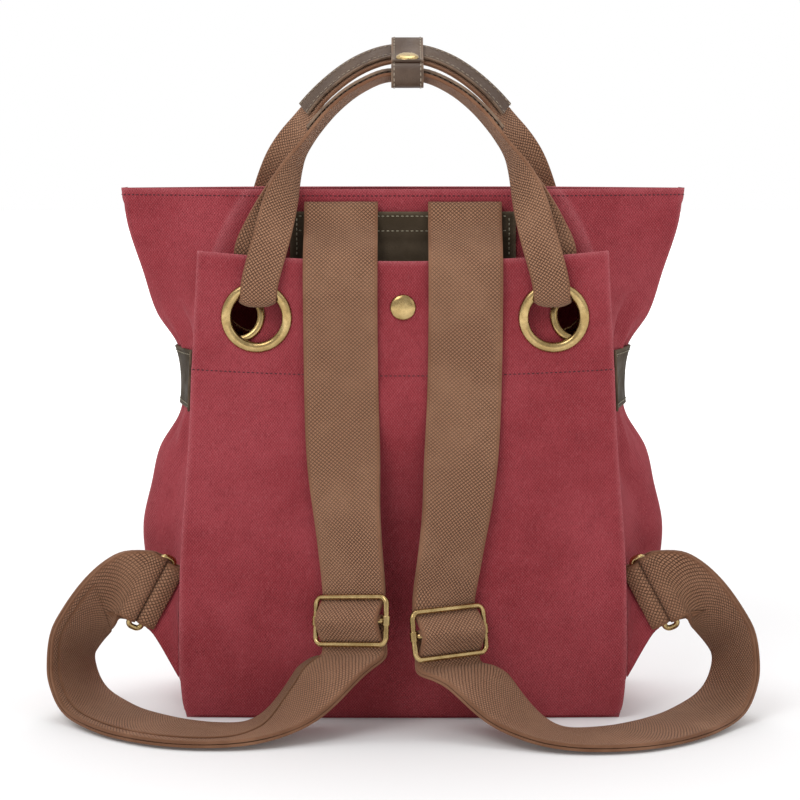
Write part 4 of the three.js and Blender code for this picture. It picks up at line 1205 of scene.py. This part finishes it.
strap = {"width": 50, "thickness": 1.9, "wave": 0.25, "columns": 14, "slider": 34, "ring": 26, "top": 30}
tab = {"width": 47, "thickness": 4.4, "columns": 10, "cover": (-0.07, 0.93)}
handle = {
    "width": 25, "thickness": 2.3, "columns": 12, "turned": True,
    "foldReach": 92, "foldFade": 25, "folded": 0.24,
}
layer = {
    "cover": [(0, 0.08), (30, 0.14), (55, 0.22), (75, 0.5), (95, 0.78), (130, 0.84), (200, 0.86), (500, 0.88)],
    "start": 0.004, "fromSlider": 25, "fromRing": 34,
    "width": 50, "thickness": 1.0, "columns": 14, "lift": 1.45,
}


def archCover(length, whole):  # the far handle is folded narrower along its arch
    near = eased((handle["foldReach"] - abs(length - whole / 2)) / handle["foldFade"])
    return (0.0, 1 - handle["folded"] * near)


def layerCover(length, whole):  # layer["cover"] has pairs of length and share
    return (layer["start"], readRow(layer["cover"], length, 1))


def layerFrames(frames, sliderPlace, ringPlace):
    # the stretch from the slider to the ring, its upper side to the camera
    atRing = min(range(len(frames)), key=lambda i: (frames[i][0] - ringPlace).length)
    for way in (frames[atRing:], frames[atRing::-1]):
        close = [i for i, row in enumerate(way) if (row[0] - sliderPlace).length < layer["fromSlider"]]
        if close:
            kept = [row for row in way[: close[0]] if (row[0] - ringPlace).length > layer["fromRing"]][::-1]
            break
    outward = sum(row[2].y for row in kept) > 0
    return [[p, a, -u] for p, a, u in kept] if outward else kept


for sideName in ("left", "right"):
    sliderPlace = nodeAxes("slider_" + sideName)[0] / mm
    ringPlace = nodeAxes("strap_ring_" + sideName)[0] / mm
    frames = framesOf("shoulder_strap_" + sideName)
    topPlace = max(frames, key=lambda row: row[0].z)[0]
    held = [(sliderPlace, strap["slider"]), (ringPlace, strap["ring"]), (topPlace, strap["top"])]
    frames = relaxBand(frames, held)
    buildBand("strap_webbing_" + sideName, frames, strap, "webbing", "shoulder_strap_" + sideName)
    second = layerFrames(frames, sliderPlace, ringPlace)
    buildBand("strap_layer_" + sideName, second, layer, "webbing", cover=layerCover)
    node = "ring_tab_" + sideName
    buildBand("tab_webbing_" + sideName, framesOf(node), tab, "webbing", node, tab["cover"])
    refinedNode("strap_ear_" + sideName, "canvas", ear)
for place in ("back", "front"):
    cover = archCover if place == "front" else (0.0, 1.0)
    node = place + "_handle"
    buildBand(node + "_webbing", framesOf(node), handle, "webbing", node, cover)
print("webbing ready")


# leather: grips, keeper, patch and belts

grip = {
    "width": 25, "thickness": 1.9, "columns": 10, "cover": {"back": (0.0, 1.0), "front": (-0.02, 0.66)},
    "edge": 2.7, "pitch": 4.0, "stitch": 2.9, "thread": 0.42,
}
keeper = {**grip, "width": 22, "edge": 2.0, "pitch": 3.8}


def bandStitches(name, frames, cover, values):
    flip = -1 if frames[len(frames) // 2][1].z > 0 else 1
    width, out = values["width"], values["thickness"] / 2 + 0.1
    lines = []
    for across in (cover[0] * width + values["edge"], cover[1] * width - values["edge"]):
        for face in (-1, 1):
            line = [p + a * flip * (across - width / 2) + u * face * out for p, a, u in frames]
            lines.append((line, [u * face for p, a, u in frames]))
    stitchedPiece(name, lines, values, "tan thread", "grey_leather")


for place in ("back", "front"):
    node = place + "_handle_grip"
    frames = framesOf(node)
    cover = grip["cover"][place]
    buildBand(place + "_grip_leather", frames, grip, "grey_leather", node, cover)
    bandStitches(place + "_grip_stitches", frames, cover, grip)
frames = framesOf("handle_keeper")
buildBand("keeper_leather", frames, keeper, "grey_leather", "handle_keeper")
bandStitches("keeper_stitches", frames, (0.0, 1.0), keeper)

leather = {"edgeWear": 0.8, "wornEnd": 0.012, "wornSide": 0.035, "edgeRound": 0.6}
patch = {
    "half": 76.5, "top": 345, "foot": 300, "corner": 12, "leather": 2,
    "lift": 2.3, "liftStart": 22, "liftFade": 8,
    "columns": 120, "rows": 36, "cloth": (153, 45),
    "seamSteps": 400, "inset": 0.035, "acrossSeams": (0.93, 0.71), "footSeam": 0.09,
    "upSeams": (0.03, 0.97), "upSpan": (0.3, 0.92),
}


def patchLift(z):  # the patch rises over the ends of the straps
    return patch["lift"] * eased((z - patch["top"] + patch["liftStart"]) / patch["liftFade"])


def patchPoint(s, t, distance=0.0):
    x = (s * 2 - 1) * patch["half"]
    corner = max(0, abs(x) - (patch["half"] - patch["corner"])) / patch["corner"]
    foot = patch["foot"] + patch["corner"] * (1 - math.sqrt(max(0, 1 - corner * corner)))
    z = foot + (patch["top"] - foot) * t
    return wallPoint(x, z, bag["seat"] + patch["leather"] + patchLift(z) + distance)


def edgeWorn(s, t):
    ends, sides = bell(min(s, 1 - s), leather["wornEnd"]), bell(min(t, 1 - t), leather["wornSide"])
    return leather["edgeWear"] * (ends + sides)


def buildPatch():
    bm = mappedSheet(patch, patchPoint, edgeWorn)
    piece = makePiece("patch_leather", bm, "dark_leather", "leather_patch")
    thicken(piece, patch["leather"] - 0.1, -1)
    soften(piece, leather["edgeRound"])
    count, inset, foot = patch["seamSteps"], patch["inset"], patch["footSeam"]
    outs = [Vector((0, -1, 0.15)).normalized()] * count
    spans = [i / count for i in range(count + 1)]
    lines = [[(inset + (1 - 2 * inset) * s, t) for s in spans] for t in patch["acrossSeams"]]
    low, high = patch["upSpan"]
    lines += [[(s, low + (high - low) * t) for t in spans] for s in patch["upSeams"]]
    lines += [[(foot + (1 - 2 * foot) * s, foot) for s in spans]]
    lines = [([patchPoint(s, t, 0.12) for s, t in line], outs) for line in lines]
    stitchedPiece("patch_stitches", lines, leatherSeam, "cream thread", "dark_leather")


buildPatch()

belt = {
    "height": 40, "middle": 231, "cover": 0.62, "start": 0.04, "leather": 2,
    "columns": 90, "rows": 20, "cloth": (120, 40),
    "seams": (0.08, 0.92), "seamSteps": 300, "thread": 0.4,
}


def buildBelt(sideName, side):
    first = 1 + belt["start"] if side > 0 else 5 - belt["cover"]
    last = 2 + belt["cover"] if side > 0 else 6 - belt["start"]

    def place(s, t, distance=0.0):
        turn = first + (last - first) * s
        z = belt["middle"] + belt["height"] * (t - 0.5)
        return skinOut(turn, z / bag["height"], bag["seat"] + belt["leather"] + distance, False)

    bm = mappedSheet(belt, place, edgeWorn)
    piece = makePiece("belt_leather_" + sideName, bm, "dark_leather", "side_belt_" + sideName)
    thicken(piece, belt["leather"] - 0.1, -1)
    soften(piece, leather["edgeRound"])
    spans = [i / belt["seamSteps"] for i in range(belt["seamSteps"] + 1)]
    outs = [outAt(first + (last - first) * s, belt["middle"] / bag["height"]) for s in spans]
    lines = [([place(s, t, 0.1) for s in spans], outs) for t in belt["seams"]]
    seam = {**leatherSeam, "thread": belt["thread"]}
    stitchedPiece("belt_stitches_" + sideName, lines, seam, "cream thread", "dark_leather")


buildBelt("left", -1)
buildBelt("right", 1)
print("leather ready")


# sizes of the frame and of the pieces

low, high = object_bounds()
{"cad": [list(cadLow), list(cadHigh)], "visual": [list(low), list(high)]}
